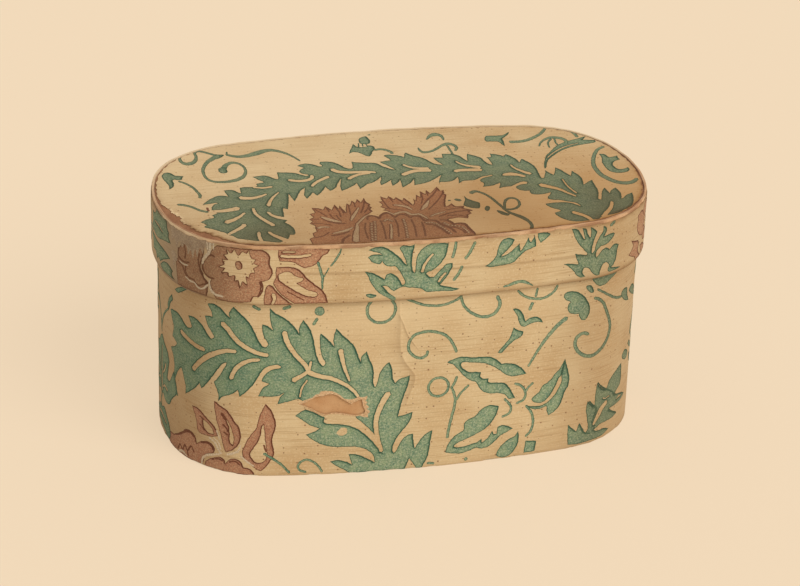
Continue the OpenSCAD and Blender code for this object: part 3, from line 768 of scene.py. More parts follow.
rimPrint = {
    "red": [
        [(-113, 170, 1), (-110, 168), (-108, 164.5), (-108.5, 161), (-108, 158.5), (-106.5, 155.5),
         (-106.8, 152), (-108.5, 149), (-112, 147.5), (-114, 147, 1), (-113.5, 143), (-114, 139.5),
         (-116, 136.5), (-119, 135.5), (-121, 132), (-144, 131), (-147, 136), (-149, 141), (-148, 144, 1),
         (-152.5, 147), (-154.5, 151), (-153.5, 155.5), (-151, 159), (-147, 166), (-143, 169.5)],
        [(-178, 131, 1), (-151.5, 131, 1), (-150.5, 137), (-152, 142), (-155.5, 146.5), (-156.5, 151),
         (-155, 157), (-153.5, 163), (-155.5, 167), (-160, 166), (-163.5, 161, 1), (-166, 163.5),
         (-170, 163.8), (-174, 161), (-177.5, 156), (-177.5, 151), (-180, 147), (-179.5, 139)],
        [(-103, 170, 1), (-95, 171), (-85, 171), (-75, 170.5), (-69.5, 169.5, 1), (-71, 166.5),
         (-74, 165), (-76, 162), (-78, 159.5), (-82, 157.5), (-86, 156.8), (-90, 159), (-93, 161, 1),
         (-97, 161.5), (-102, 161.8, 1), (-103, 165)],
        [(-104, 157.5, 1), (-99, 157.7), (-94, 157.5), (-90, 156), (-87, 153.5), (-85, 150.5),
         (-82, 147.5), (-78, 144), (-74, 140.5), (-71.5, 136.5), (-70, 131, 1), (-92, 131, 1),
         (-97, 134.5), (-101, 138), (-104, 142), (-106, 146), (-104.5, 150), (-104.5, 154)],
        [(-110.5, 143.5), (-108.5, 145), (-106, 143.5), (-103, 139.5), (-99, 135.5), (-95, 132),
         (-93, 130.5, 1), (-112, 130.5, 1), (-112, 136)],
        [(157.5, 163.5, 1), (161, 164.8), (166, 165), (168, 162.8, 1), (171, 167), (176, 168.8),
         (181, 167.5), (183, 163.5, 1), (187, 165.5), (192, 164), (195, 160), (194.5, 156, 1),
         (199, 153.5), (200, 148.5), (198, 144), (193.5, 142.5, 1), (193, 138), (188.5, 135), (183, 136),
         (180.5, 139.5, 1), (176, 139), (171, 141.5), (169.5, 145, 1), (165, 146), (160, 149.5),
         (157, 155), (158.5, 159.5)],
        [(149.5, 148, 1), (155, 146), (161, 144), (163, 141), (162, 137), (164, 133.5), (168, 130.5, 1),
         (158, 130.5, 1), (156, 133.5), (151.5, 135.5), (147.3, 137.8, 1), (151, 140.5), (153, 143.5),
         (151, 146)],
        [(166, 138.5, 1), (172, 138), (180, 134), (186, 131, 1), (172, 131, 1), (168, 134.5)],
    ],
    "eye": [
        [(-137, 168, 1), (-134, 165.5), (-131.5, 168.5, 1), (-129, 164.5), (-126, 168, 1),
         (-123.5, 166.5), (-122, 169, 1), (-120.5, 163.5), (-117.5, 163, 1), (-119, 160),
         (-115.5, 158.5, 1), (-119, 156.5), (-118, 153.5, 1), (-121, 153), (-122, 149.5, 1),
         (-124, 150.5), (-123, 144.5, 1), (-126, 146.5), (-127.5, 142.5, 1), (-129, 147),
         (-131, 146.5, 1), (-131, 150), (-135, 149, 1), (-136, 151.5), (-140, 151, 1), (-138, 154),
         (-142, 154.5, 1), (-138.5, 157), (-139.5, 160, 1), (-136, 160.5), (-138.5, 163.5, 1),
         (-136, 165)],
        [(172, 156, 1), (175.5, 156), (176.5, 160, 1), (179, 157.5), (182, 161, 1), (184, 157.5),
         (188.5, 158, 1), (187, 154), (191, 151.5, 1), (187, 150), (188, 145.5, 1), (184, 147),
         (181, 143, 1), (179, 147), (174.5, 145.5, 1), (175.5, 149.5), (171, 151.5, 1), (175, 153)],
        [(-102.5, 152, 1), (-99, 154), (-95, 153.8), (-92.5, 151.5), (-90, 150), (-87, 149.5),
         (-86.5, 148.3), (-88, 147), (-91, 146, 1), (-88, 143.5), (-83, 140.5), (-78, 138.8), (-77, 137),
         (-79, 135.8), (-84, 136.5), (-90, 139.5), (-96, 143.5), (-101.5, 147.8), (-102.5, 150)],
    ],
    "veil": [
        [(-187, 170.6, 1), (-147, 170.6, 1), (-148.5, 166), (-150, 161, 1), (-152.5, 166),
         (-154.5, 160.5, 1), (-157, 164), (-159.3, 156.5, 1), (-161, 162), (-163.2, 154.5, 1),
         (-165, 160), (-167.4, 156, 1), (-170, 162.5), (-173.5, 159, 1), (-176, 163), (-179.5, 157, 1),
         (-182.5, 162.5), (-186, 160, 1), (-186, 165)],
        [(-187, 151, 1), (-183, 153.5), (-180, 152), (-178.5, 148), (-181.5, 146), (-183.5, 140, 1),
         (-184.5, 146)],
    ],
    "seed": [[(179.5, 154.5), (182.5, 154), (183.5, 151.5), (181.5, 149.8), (179, 151.5)],
             [(-131, 159.5), (-128.5, 160.8), (-126.2, 158.7), (-126.8, 155.2), (-130, 154.8)]],
    "light": [
        ([(-101, 165.5), (-95, 165), (-88, 165), (-82, 166)], [1.8]),
        ([(-100, 168.5), (-92, 168.2)], [1]),
        ([(-106, 138), (-105, 135), (-106.5, 131)], [2.4, 1.6]),
    ],
    "shade": [
        ([(-169.5, 141.5), (-166.5, 139.8), (-162.5, 139.6), (-160.5, 137.6), (-157.5, 137),
          (-154.5, 138.6), (-151, 140)], [1.2]),
        ([(-155.2, 146.5), (-153.6, 143), (-150.6, 140.8)], [1.3]),
        ([(-177.5, 151.3), (-172, 149.7), (-166.5, 150.6)], [1.3]),
        ([(-157.4, 160), (-158.4, 154), (-156.8, 149.5), (-154.6, 146)], [1.3]),
        ([(-171.5, 162), (-169.8, 157), (-170.5, 152.5)], [1, 1.6]),
        ([(-177.3, 157.5), (-177.4, 152.5), (-174, 149.8)], [1.2]),
        ([(-168.6, 149.4), (-170.2, 145), (-168.8, 141)], [1.2]),
        ([(-178, 147.8), (-173, 146), (-171, 142.5), (-169, 140)], [1.1]),
        ([(-154.4, 155.5), (-155, 151), (-153, 147.3), (-149.5, 145.2), (-146, 145)], [1.4]),
        ([(-149.5, 161), (-147.5, 161.6), (-145.5, 160.5)], [1.8, 1]),
        ([(-97, 140), (-91, 136.5), (-86, 133.5)], [0.8]),
        ([(168, 162.8), (171, 159.5), (174, 157)], [1.2, 0.6]),
        ([(183, 163.5), (183.5, 160)], [1.2, 0.6]),
        ([(194.5, 156), (191, 154.5)], [1.2, 0.6]),
        ([(193.5, 142.5), (189.5, 146)], [1.2, 0.6]),
        ([(180.5, 139.5), (181, 143)], [1.2, 0.6]),
        ([(169.5, 145), (173, 147.5)], [1.2, 0.6]),
        ([(-113.6, 147.2), (-112.8, 142.5), (-113.6, 139), (-116, 136)], [1]),
    ],
    "chalk": [
        ([(-155, 153.5), (-154, 157.5), (-151.5, 160.5), (-149.6, 163), (-149, 166), (-148.8, 170)],
          [1.4, 2, 1.6]),
        ([(-151.2, 170), (-151, 165)], [1]),
        ([(-146.5, 170), (-146.2, 165.5)], [1.2, 0.6]),
        ([(-170, 139.3), (-166, 137.7), (-161.5, 137.6), (-159.5, 135.6), (-156, 135), (-153, 136.8),
          (-150.8, 139.4)], [0.8, 1.4]),
        ([(-149.4, 143), (-149.3, 139.5), (-148, 136), (-145, 133.9), (-139.5, 133.4)], [1, 1.9, 1.2]),
        ([(-176, 148.6), (-172, 147.7), (-168, 148.3)], [0.8, 1.2]),
    ],
    "leaf": [
        [(18, 135.2, 1), (12, 137), (7, 138.3), (4.5, 139.5, 1), (8, 143.5), (10.5, 147.5), (12.5, 152),
         (12.5, 154.5, 1), (9, 154.3), (5.5, 151.5), (2.5, 148), (0, 145.5), (-2.5, 145.5, 1),
         (-5, 148.5), (-1, 150.5), (3, 153.5), (6.3, 157.5), (8.3, 162), (9.3, 169, 1), (4, 170),
         (0, 170.3), (-5, 168.8), (-9, 165.8), (-11.5, 161.5), (-12.3, 156), (-12.6, 150.5),
         (-13.2, 149.5, 1), (-14.5, 152), (-15, 157), (-14.8, 162), (-13.4, 170, 1), (-17, 169),
         (-21, 170), (-23.6, 168, 1), (-21.5, 164), (-19.5, 159.5), (-18.3, 155, 1), (-21, 158.5),
         (-24, 162), (-28, 165.5), (-32, 168.5), (-36, 169.8), (-40, 169.5), (-44.2, 167.7, 1),
         (-40, 166.3), (-36.5, 165), (-34.8, 163.6, 1), (-38, 164.5), (-42, 164), (-44.3, 162.7, 1),
         (-42.5, 160), (-39.5, 158), (-36, 157.4), (-35, 159.5, 1), (-33.3, 156.8), (-30, 155.3),
         (-26, 155), (-23.8, 152.5), (-21.5, 148.5), (-19.5, 144.5), (-19.3, 141.8, 1), (-21, 141.3),
         (-22.5, 144.5), (-25.5, 148.3), (-29, 150.3), (-32, 149), (-33, 146, 1), (-36, 148.3),
         (-41, 151.2), (-46.3, 152.7, 1), (-43.8, 148.5), (-42, 144), (-39, 139.5), (-36, 136),
         (-31, 134.5), (-28, 134, 1), (-31, 137.5), (-33, 140), (-34.5, 141.3, 1), (-31, 141),
         (-28.5, 138.5), (-26.5, 137, 1), (-23.5, 139), (-20, 140), (-17, 139.2), (-12, 138.5),
         (-8, 137.5), (-5.5, 135.5), (-3, 134.8), (2, 134.8), (8, 134.6), (14, 134.2)],
        [(-45, 135.8), (-41, 136), (-38, 134.5), (-41, 133), (-44, 134)],
        [(35, 150, 1), (38, 151.8), (41, 154.3), (42.8, 158), (43.5, 162), (45, 166), (47.5, 168.3),
         (51, 168.8), (55, 167, 1), (53, 163.5), (50, 160), (47, 157.3), (46, 155.8, 1), (49, 156.5),
         (53, 159), (57, 162.5), (58.5, 164, 1), (58.7, 160.5), (59.5, 158.5), (62, 162),
         (64.5, 167.5, 1), (65.3, 165.5), (66.5, 163.8, 1), (68.5, 167), (69, 168.5, 1), (69.8, 165),
         (70.3, 160.5, 1), (66, 159), (62.5, 157.5), (59.5, 155), (56.5, 152), (53, 150.2), (48, 149.5),
         (42, 149), (38, 149)],
        [(71, 169.5, 1), (74, 170), (79, 169), (80, 167.5), (77, 165), (73.5, 162.5, 1), (72.5, 164),
         (71.5, 166.5)],
        [(91, 144.5, 1), (95, 144.2), (99, 143.5), (102, 143), (100.5, 146.5), (99, 151, 1), (103, 150),
         (107.5, 149), (108, 150, 1), (105.5, 153), (102, 157), (99, 161.5), (97, 166), (95.5, 169.5, 1),
         (99.5, 169), (102.5, 165), (105, 161), (105.8, 160.5, 1), (104.8, 164), (103.5, 169, 1),
         (106, 168.5), (107.5, 164.5), (109.5, 161.5), (110, 161.5, 1), (110, 165), (109.3, 169, 1),
         (112, 167.5), (114.5, 165), (113.5, 161.5), (112, 157), (111.2, 151), (111.5, 149.5, 1),
         (113, 150.5), (114.5, 156), (116.5, 160), (119.5, 164.5), (119.5, 168, 1), (122.5, 166),
         (122, 162.5), (120.5, 160, 1), (124, 160.5), (128, 161), (130, 160, 1), (128.5, 157.5),
         (125, 154.8), (121, 153.5), (118.5, 153.5), (116, 151.5), (114.5, 148.5), (115.5, 145.5, 1),
         (117.5, 148), (120, 150.5), (123, 151.3), (125.3, 150), (126, 149, 1), (128.5, 151.3),
         (131.5, 152), (134.8, 150.5, 1), (133.5, 147.5), (133.3, 144), (132.5, 140), (130.5, 136.5),
         (128.5, 135.5), (132, 134.5), (138, 133, 1), (133, 132.5), (127, 132.5), (125.5, 134),
         (126.5, 137.5), (124.5, 140), (121.5, 139.8), (119.5, 136.5), (118.5, 132.3, 1), (116, 132.3),
         (113, 134.5), (110.5, 138), (107.5, 139.8), (105.8, 139), (105.5, 136), (107.5, 133, 1),
         (104, 132.8), (101, 135), (98.5, 138.5), (95, 142)],
        [(-230, 153, 1), (-222, 151), (-214, 150.8), (-207, 151.8), (-200, 153.8), (-187, 156.5, 1),
         (-190.5, 159.5), (-190, 163, 1), (-192.5, 165), (-193.5, 170.6, 1), (-214, 170.6, 1),
         (-219, 165.5), (-226, 164.5, 1), (-225.5, 158)],
        [(-232, 148, 1), (-222, 148), (-213, 147.5), (-204, 147.6), (-196, 147), (-188.5, 145, 1),
         (-194, 142.3), (-200, 139.5), (-205.5, 136, 1), (-210, 137), (-213, 134.5, 1), (-217, 138.5),
         (-225, 137.5, 1), (-225, 143)],
        [(-206, 133.5, 1), (-200, 138), (-195, 139.6), (-190, 139.6), (-184.5, 137.5, 1), (-186, 134.5),
         (-182, 132, 1), (-192, 132), (-200, 131.8)],
        [(203, 167, 1), (205, 162), (209, 158.5), (214, 157, 1), (213, 162), (209, 165.5)],
        [(204, 134, 1), (209, 135.5), (213, 139), (215, 144, 1), (209.5, 142.5), (205.5, 138.5)],
    ],
    "slit": [
        ([(-1, 162), (-4, 158.5), (-6.5, 154.5), (-8, 150)], [1.5, 2]),
        ([(8, 147.5), (5.5, 144.8), (3.5, 141.8)], [1.6]),
        ([(-219, 160), (-209, 160.5), (-201, 159)], [1, 1.6, 1]),
    ],
    "stem": [
        ([(-62, 170), (-63, 166.5), (-65.5, 162), (-68.5, 157.5)], [0.9, 1.6, 1]),
        ([(-70, 156), (-73, 150)], [0.8]),
        ([(-77, 160.5), (-75.5, 155), (-74, 149.5), (-74, 144), (-74, 141)], [1.6, 2, 1]),
        ([(-35, 137), (-30, 134), (-26, 131)], [3]),
        ([(14.3, 169.5), (14, 166), (13.3, 162), (12.3, 158.7)], [2]),
        ([(27.3, 168), (25.5, 164), (23.5, 160), (21.3, 157)], [2]),
        ([(19, 151.5), (18, 148.5), (16, 145), (13.8, 142)], [2]),
        ([(48.7, 133.5), (52, 134), (57, 135.5), (61, 135.8), (65, 134.5), (69.5, 131.7)],
          [1, 2.2, 2.2, 2, 0.6]),
        ([(126, 167), (129, 169)], [2.5]),
        ([(198, 151), (206, 150), (215, 150.5), (224, 150)], [2, 1.4]),
        ([(207, 150), (210, 154), (213, 158)], [1.2]),
        ([(207, 150), (210, 147), (213, 143)], [1.2]),
    ],
}

# the lid's top, in mm across and back from its middle
topPrint = {
    "red": [
        [(-79.5, -95.5, 1), (-80, -83.5), (-80, -78.5, 1), (-76.5, -76, 1), (-76.5, -70.5, 1),
         (-73, -68, 1), (-73, -63.5, 1), (-72.5, -59.5), (-75, -55.5, 1), (-72.5, -52, 1), (-74, -49, 1),
         (-70.5, -46, 1), (-72, -40.5, 1), (-68, -39, 1), (-68.5, -30.5, 1), (-64, -32.5),
         (-61.5, -35, 1), (-59, -29.5, 1), (-56, -36.5, 1), (-52.5, -28, 1), (-51, -35.5, 1),
         (-49.5, -30, 1), (-47.5, -42.5, 1), (-46.5, -36.5), (-44, -27.5, 1), (-42.5, -31, 1),
         (-39.5, -23.5, 1), (-38, -28, 1), (-35.5, -21.5, 1), (-34, -27.5, 1), (-30.5, -20.5, 1),
         (-30.5, -27.5, 1), (-28.5, -32, 1), (-30, -34.5, 1), (-28.5, -37, 1), (-30.5, -39.5, 1),
         (-29.5, -43, 1), (-32.5, -46), (-35.5, -49, 1), (-34, -49), (-31.5, -49), (-29.5, -50.5),
         (-27.5, -52, 1), (-26, -49), (-23.5, -46.5), (-21, -45.5), (-19, -46.5, 1), (-20, -44),
         (-22.5, -42.5, 1), (-20, -40.5, 1), (-23, -37, 1), (-20.5, -34, 1), (-22, -28.5, 1),
         (-19.5, -28, 1), (-19, -20, 1), (-15.5, -24.5, 1), (-13.5, -20.5, 1), (-11, -26.5, 1),
         (-9, -23, 1), (-6, -29.5, 1), (-4, -25, 1), (-2, -31), (-0.5, -37.5, 1), (1, -34.5),
         (2, -27.5, 1), (3, -31, 1), (5.5, -21.5, 1), (7.5, -26, 1), (9.5, -16, 1), (12, -22, 1),
         (14, -15, 1), (15.5, -21, 1), (18.5, -17), (22.5, -11, 1), (23.5, -18.5, 1), (26, -17, 1),
         (24.5, -23, 1), (26, -25, 1), (24, -30.5), (22, -37), (20.5, -44, 1), (22.5, -43),
         (25.5, -39.5, 1), (27, -45, 1), (33, -45, 1), (31.5, -48.5, 1), (37, -53, 1), (34, -54.5, 1),
         (35, -57.5, 1), (32, -59.5, 1), (30.5, -65, 1), (25, -62.5), (19.5, -63.5), (17, -64.5),
         (19, -69), (19.5, -71, 1), (23, -70.5), (26.5, -72), (27.5, -76.5), (28, -81.5), (29, -87.5),
         (28.5, -95.5, 1)],
    ],
    "vein": [
        ([(-65, -46.5), (-62, -50.5), (-58, -54), (-54, -56.5)], [1.6, 3.4, 3.2, 1]),
        ([(-71, -63), (-67.5, -62), (-63.5, -63)], [2.2, 2, 0.8]),
        ([(-63, -73), (-58, -71.5), (-53, -69.5), (-48.5, -66)], [1.2, 2.6, 2.6, 1]),
        ([(-37.5, -36), (-41, -43), (-44.5, -49.5), (-47, -55)], [0.8, 1.6, 2.2, 1]),
        ([(-33, -47.5), (-37, -51), (-41, -56.5), (-44.5, -61.5)], [1, 1.5, 1.5]),
        ([(-44.5, -62), (-46, -68.5), (-48.5, -76.5), (-51, -87.5)], [1.6, 2.6, 3.6, 3.8]),
        ([(-19.5, -46), (-17, -50), (-14.5, -49), (-12, -47.5), (-8, -48), (-6, -52), (-3, -53),
          (-0.5, -52.5), (1.5, -56), (3.5, -61)], [1.2, 2.2, 2.2, 2.2, 1.2]),
        ([(-13, -35.5), (-9, -37), (-5.5, -40), (-3, -45)], [1.4, 2.6, 2.2, 1]),
        ([(12, -31.5), (9.5, -36.5), (7, -41), (3.5, -46)], [0.8, 2, 3.2, 1]),
        ([(18, -52), (12, -54.5), (6.5, -57.5)], [0.8, 1.6, 0.8]),
        ([(-22.5, -65.5), (-24, -73.5), (-27.5, -87.5)], [0.8, 1.4, 1.4]),
    ],
    "shade": [
        ([(-36, -55.5), (-35, -51.5), (-32, -50), (-29.5, -51.5), (-28, -55.5)], [1.7]),
        ([(-27.5, -54.5), (-25.5, -50), (-21.5, -47.5), (-19, -49.5), (-18, -54)], [1.8]),
        ([(-17.5, -55.5), (-15.5, -53), (-12, -51), (-9, -53), (-7.5, -57)], [1.8]),
        ([(-7, -57.5), (-4.5, -55.5), (-1.5, -56.5), (0, -60.5), (0.5, -64.5)], [1.7]),
        ([(0.5, -64), (5, -63.5), (8.5, -65.5), (10, -70), (12, -74), (15, -78.5), (16.5, -85.5)], [2.2]),
        ([(0.5, -69.5), (4.5, -71), (7.5, -75.5), (9.5, -81.5), (11, -87.5)], [1.6]),
        ([(11.5, -64), (15.5, -66), (17.5, -70.5), (18.5, -74.5)], [1.4]),
        ([(18.5, -72.5), (22.5, -72), (25.5, -75), (26.5, -81.5), (27.5, -87.5)], [1.4]),
        ([(10, -73.5), (14, -76), (18.5, -78), (21.5, -82.5), (22.5, -87.5)], [1.8]),
        ([(-38.5, -60.5), (-41, -69.5), (-42.5, -85.5)], [1.2]),
        ([(-28, -58.5), (-28.5, -69.5), (-31, -87.5)], [1.3]),
        ([(-18, -57.5), (-18.5, -67.5), (-22, -85.5)], [1.3]),
        ([(-7.5, -60.5), (-8, -71.5), (-10.5, -87.5)], [1.3]),
        ([(-1.5, -65.5), (-2.5, -75.5), (-4.5, -87.5)], [1.4]),
        ([(-59, -43.5), (-58, -49), (-56.5, -52.5)], [1.2]),
        ([(-55, -45.5), (-54.5, -50.5), (-53.5, -54.5)], [1.1]),
        ([(-67, -33.5), (-64, -40.5), (-61.5, -46.5)], [1.1]),
        ([(-59, -33), (-58.5, -39.5)], [1]),
        ([(-53, -32), (-52, -40.5), (-52.5, -48.5)], [1.1]),
        ([(-49.5, -34), (-49.5, -43.5)], [0.9]),
        ([(-43.5, -31), (-44.5, -39.5), (-45.5, -46.5)], [1.1]),
        ([(-39, -27), (-39.5, -34.5)], [1]),
        ([(-31, -24.5), (-34, -34.5), (-38, -44.5)], [1.3]),
        ([(-31, -36.5), (-35.5, -44.5)], [1.1]),
        ([(-19, -23.5), (-18.5, -32.5), (-17.5, -41.5)], [1.1]),
        ([(-13.5, -24), (-12.5, -30.5)], [1]),
        ([(-8.5, -26.5), (-6.5, -33), (-4, -38.5)], [1.1]),
        ([(-19, -39.5), (-15, -42), (-9, -44.5)], [1.1]),
        ([(22, -14.5), (17.5, -22.5), (12, -30), (7.5, -36.5)], [1.5]),
        ([(9.5, -19.5), (8.5, -27.5), (5.5, -36.5)], [1.1]),
        ([(14, -18.5), (13, -24.5)], [1]),
        ([(25, -20.5), (20, -29.5), (14, -38.5), (8, -46.5)], [1.2]),
        ([(36, -53), (28, -53), (20, -55), (12, -59)], [1.6]),
        ([(31, -47), (25.5, -48.5), (19, -49.5)], [1.1]),
        ([(30.5, -62.5), (25, -59), (18, -58.5)], [1.2]),
        ([(-73.5, -55.5), (-67, -57), (-61, -60.5)], [1.1]),
        ([(-72, -49), (-67.5, -49.5)], [1.1]),
        ([(-64.5, -51), (-61, -55.5), (-56, -58.5), (-52, -59)], [1.6]),
        ([(-65, -76.5), (-58, -75), (-52, -72)], [1.8]),
        ([(-76, -77.5), (-70, -75.5), (-65.5, -71)], [1.3]),
        ([(-61, -89.5), (-58, -82.5), (-53, -77.5)], [2]),
    ],
    "lace": [
        [(-32, -59.5), (-34, -69.5), (-38, -87.5)],
        [(-34.5, -61.5), (-36.5, -69.5), (-40, -87.5)],
        [(-12.5, -59.5), (-13.5, -69.5), (-16.5, -87.5)],
        [(1.5, -67), (5, -67.5), (7.5, -70), (10, -76), (13, -86.5)],
        [(13, -69.5), (15, -73), (19, -75), (23, -78), (25, -86.5)],
        [(-25.5, -59.5), (-23, -57.5), (-20.5, -60.5)],
    ],
    "leaf": [
        [(-145, -41, 1), (-143, -44), (-142, -46, 1), (-144, -49), (-140, -52), (-136, -56), (-132, -60),
         (-131, -63), (-128, -66), (-126, -70, 1), (-120, -73), (-115, -75.5), (-109, -77), (-105, -79),
         (-100, -80.5), (-98, -79.5, 1), (-97, -77), (-93.5, -76, 1), (-92, -72), (-91.5, -70, 1),
         (-88.5, -70.5, 1), (-87, -67), (-87, -60), (-88.5, -55), (-90.5, -51), (-90, -49.5, 1),
         (-88.5, -47), (-89.5, -42, 1), (-88.5, -36), (-88, -31), (-87, -28), (-84.5, -30, 1),
         (-81.5, -18), (-79.5, -8), (-79, -5), (-77.5, -18, 1), (-75, -13), (-72, -6), (-69.5, -1),
         (-66, 3, 1), (-67.5, -3), (-69, -9), (-68.5, -15.5, 1), (-66, -12), (-62.5, -6, 1), (-61.5, -8),
         (-60.5, -11.5, 1), (-57, -7), (-54, -2), (-51.8, 2.5, 1), (-51, -2), (-50, -5, 1), (-47.5, -3),
         (-45, 0), (-42.5, 6), (-39.5, 12), (-38, 15, 1), (-40, 8), (-42, 0), (-42.5, -6.5, 1), (-40, -5),
         (-36, -2), (-32, 1.5), (-29.5, 4.5, 1), (-29.5, 0), (-29.5, -5.5, 1), (-26, -2), (-23, 1.5),
         (-18, 4), (-14, 8), (-10.5, 12.5, 1), (-12, 7), (-13.5, 3), (-14, -1.5, 1), (-10, 1), (-7, 4),
         (-5, 6, 1), (-6, 2), (-6.5, -4, 1), (-3, -1), (0, 3), (1, 5.5, 1), (0.5, 0), (-0.5, -8, 1),
         (3, -5), (7.5, -0.5), (10.5, 4.5, 1), (9.5, -1), (8.5, -5.5, 1), (12, -4.5), (17, -3), (22, 0),
         (27, 4.5), (31, 8.5, 1), (29, 4), (27, -1), (25.5, -7.5, 1), (27, -3.5), (31, -4), (36, -3),
         (39, 0), (41.3, 3, 1), (40.5, -2), (39, -8.5, 1), (43, -4.5), (48, -4.5), (52, -4), (55, -1.5),
         (58, 0.5), (62, 1.5), (65.5, 2.5, 1), (65, 0.5), (60, -1), (56, -3.5), (54.5, -6, 1), (55, -8),
         (56, -10, 1), (55.5, -13), (54, -16.5, 1), (58, -16), (62, -15), (65, -13), (67.5, -11.5, 1),
         (66, -16), (64, -20.5, 1), (68, -19), (73, -18.5), (76, -16.5), (80, -13.5), (84, -12),
         (86, -13.5), (85, -16), (80, -17), (76.5, -19.5, 1), (76, -22), (77, -25), (80, -27.5),
         (84, -28, 1), (83, -31), (84, -34), (89, -35.3), (94, -34.3), (97, -33, 1), (96, -36), (93, -40),
         (92.5, -43.5), (95, -45.5), (99, -46.5), (104, -50), (109, -53.5), (111, -60, 1), (109, -57),
         (104, -52), (97, -50.5), (88, -51, 1), (88.5, -55), (91, -59), (94, -62), (95, -64),
         (90, -66.5, 1), (90, -70), (92, -75), (95, -79), (100, -82), (108, -82), (113, -81), (116, -81),
         (120, -77), (127, -75), (133, -73), (138, -69), (143, -66), (147, -60), (150, -52),
         (152, -43, 1), (147, -46), (144, -49.5), (141.5, -51.5, 1), (143.5, -45), (144, -40),
         (143, -33, 1), (140, -36), (137.5, -39), (136.5, -42, 1), (136, -36), (135.5, -32, 1),
         (132, -38), (129.5, -45), (127.5, -51, 1), (126, -49), (128, -43), (130, -35), (130.5, -27),
         (131, -18, 1), (128, -20), (125, -23), (123, -24.5, 1), (124.5, -18), (125, -12), (124, -6),
         (122, 0, 1), (120.5, -4), (119, -8.5, 1), (117, -3), (115, 3), (112.5, 7.5, 1), (110.5, 2),
         (109, -2), (107.5, -4.5, 1), (106, -1.5), (104, 4, 1), (103, 0), (101, -5), (99.5, -8.5, 1),
         (98, -8.5), (98, -3), (98.5, 3), (98.8, 9), (98, 15), (95.5, 22), (93.5, 26, 1), (91.5, 23),
         (90.2, 19.5, 1), (89.5, 26), (87, 32), (84.5, 36, 1), (82.2, 32, 1), (81, 34), (78, 36.5),
         (74, 39, 1), (73, 33), (69.8, 32.6, 1), (70.5, 29), (70.5, 19, 1), (68, 22), (66.5, 28),
         (66, 32), (63.5, 36), (60.5, 39), (58.2, 41.5, 1), (56.5, 36), (55.5, 31), (54.8, 28.5, 1),
         (53.5, 33), (52, 38), (49.5, 41.5), (45, 43.5), (40.5, 44, 1), (39.8, 40), (39.5, 37.5, 1),
         (36, 38), (33, 38.5, 1), (33.5, 34), (35, 29), (36.5, 24.5, 1), (33, 26.5), (31, 28), (29.5, 31),
         (27.5, 36), (25, 40), (21, 43.5), (18, 47), (16, 50.5, 1), (14.5, 48), (13, 42.5, 1), (10, 46),
         (6, 47.5), (3, 49), (0, 48), (0.5, 45), (2, 41.5), (2.5, 39, 1), (-1, 38.5), (-5.5, 37.5, 1),
         (-4, 34), (-2, 31), (2, 22, 1), (-1.5, 25), (-5.5, 30), (-7, 33), (-9, 36), (-15, 37.5),
         (-22, 39.5), (-25, 41, 1), (-25.5, 36), (-26.5, 31), (-28, 29.5), (-31, 31), (-34, 37),
         (-37, 41.5), (-41, 44), (-46.5, 44.5, 1), (-47.5, 42), (-46.5, 38), (-47, 36.5, 1), (-49, 37),
         (-52, 40.5), (-57, 43), (-61, 42), (-63.5, 40, 1), (-61, 37.5), (-59.5, 36, 1), (-62, 34),
         (-64, 30.5), (-63.5, 27), (-61, 25), (-59, 23.5), (-61, 22), (-64, 24.5), (-67, 27.5),
         (-71, 29.5), (-76, 30.5), (-79.5, 31.5, 1), (-80, 27), (-81, 20), (-83.5, 21), (-86, 25),
         (-90, 27.5), (-94, 27), (-97.5, 26.5, 1), (-95.5, 23), (-94, 20), (-92, 17.5), (-92, 15.5, 1),
         (-96, 15), (-97.5, 13.5), (-97, 11.5), (-99, 9.8), (-102, 9.5), (-106, 10.3), (-109.5, 9.5, 1),
         (-110, 5.5), (-110.3, 0.5, 1), (-112.5, 3), (-114.5, 6.5), (-117, 7.5), (-121, 7, 1),
         (-120.5, 3), (-119.8, -3.5, 1), (-123, -1.2), (-127, -1.2), (-131, -4), (-135, -8),
         (-139, -13.5, 1), (-134, -12.8), (-129.5, -12), (-128.5, -13), (-131, -14), (-133.5, -18),
         (-134.5, -22), (-134, -25), (-132, -28.5), (-136, -31.5, 1), (-135, -34), (-136, -36, 1),
         (-140, -37), (-143.5, -39.5)],
        [(-156, 43), (-153.5, 44), (-151, 42), (-149, 38), (-147, 37), (-143.5, 36, 1), (-145, 33),
         (-145.5, 30.5), (-148, 30), (-150.5, 31.5), (-152, 30), (-152, 25), (-153, 20),
         (-156.5, 15.5, 1), (-156, 22), (-157, 28), (-158, 34), (-158, 39)],
        [(-120, 63), (-115, 68.5), (-110, 67.5), (-112, 64), (-116, 61.5)],
        [(-23.5, 55, 1), (-22, 59.5), (-19.5, 65), (-17, 71.5, 1), (-15.5, 66.5), (-13, 65), (-9.5, 65),
         (-7, 67), (-4.5, 66), (-3.3, 63.5), (-4, 60), (-6.5, 56), (-8.5, 51), (-10.5, 48.5), (-13, 50.5),
         (-15.5, 55), (-19, 57.5), (-21.5, 57)],
        [(-11.8, 73), (-11.5, 78), (-9, 82), (-5, 83.5), (-4, 80), (-3.8, 75), (-5.5, 70.5), (-9, 70),
         (-11, 71)],
        [(77, 64), (79.5, 70.5, 1), (84, 70), (90, 69.5), (93, 70.5), (98, 75, 1), (96, 70.5), (92, 66),
         (90, 63.5), (89.5, 58), (88, 50, 1), (87, 54), (85.5, 59), (82, 60), (77.5, 60.5, 1)],
        [(104.5, 7, 1), (106, 13.5), (109, 21.5), (112, 28.5), (117, 35), (121, 40.5), (127, 46.5),
         (133, 50.5), (139, 53), (145, 55.5), (150, 58, 1), (147.5, 54), (146, 52, 1), (150, 51),
         (154.5, 50, 1), (154, 46.5, 1), (149, 45), (142, 43.5), (135, 41), (129, 38), (123, 33.5),
         (117, 27.5), (111.5, 21), (108, 13.5), (106, 8)],
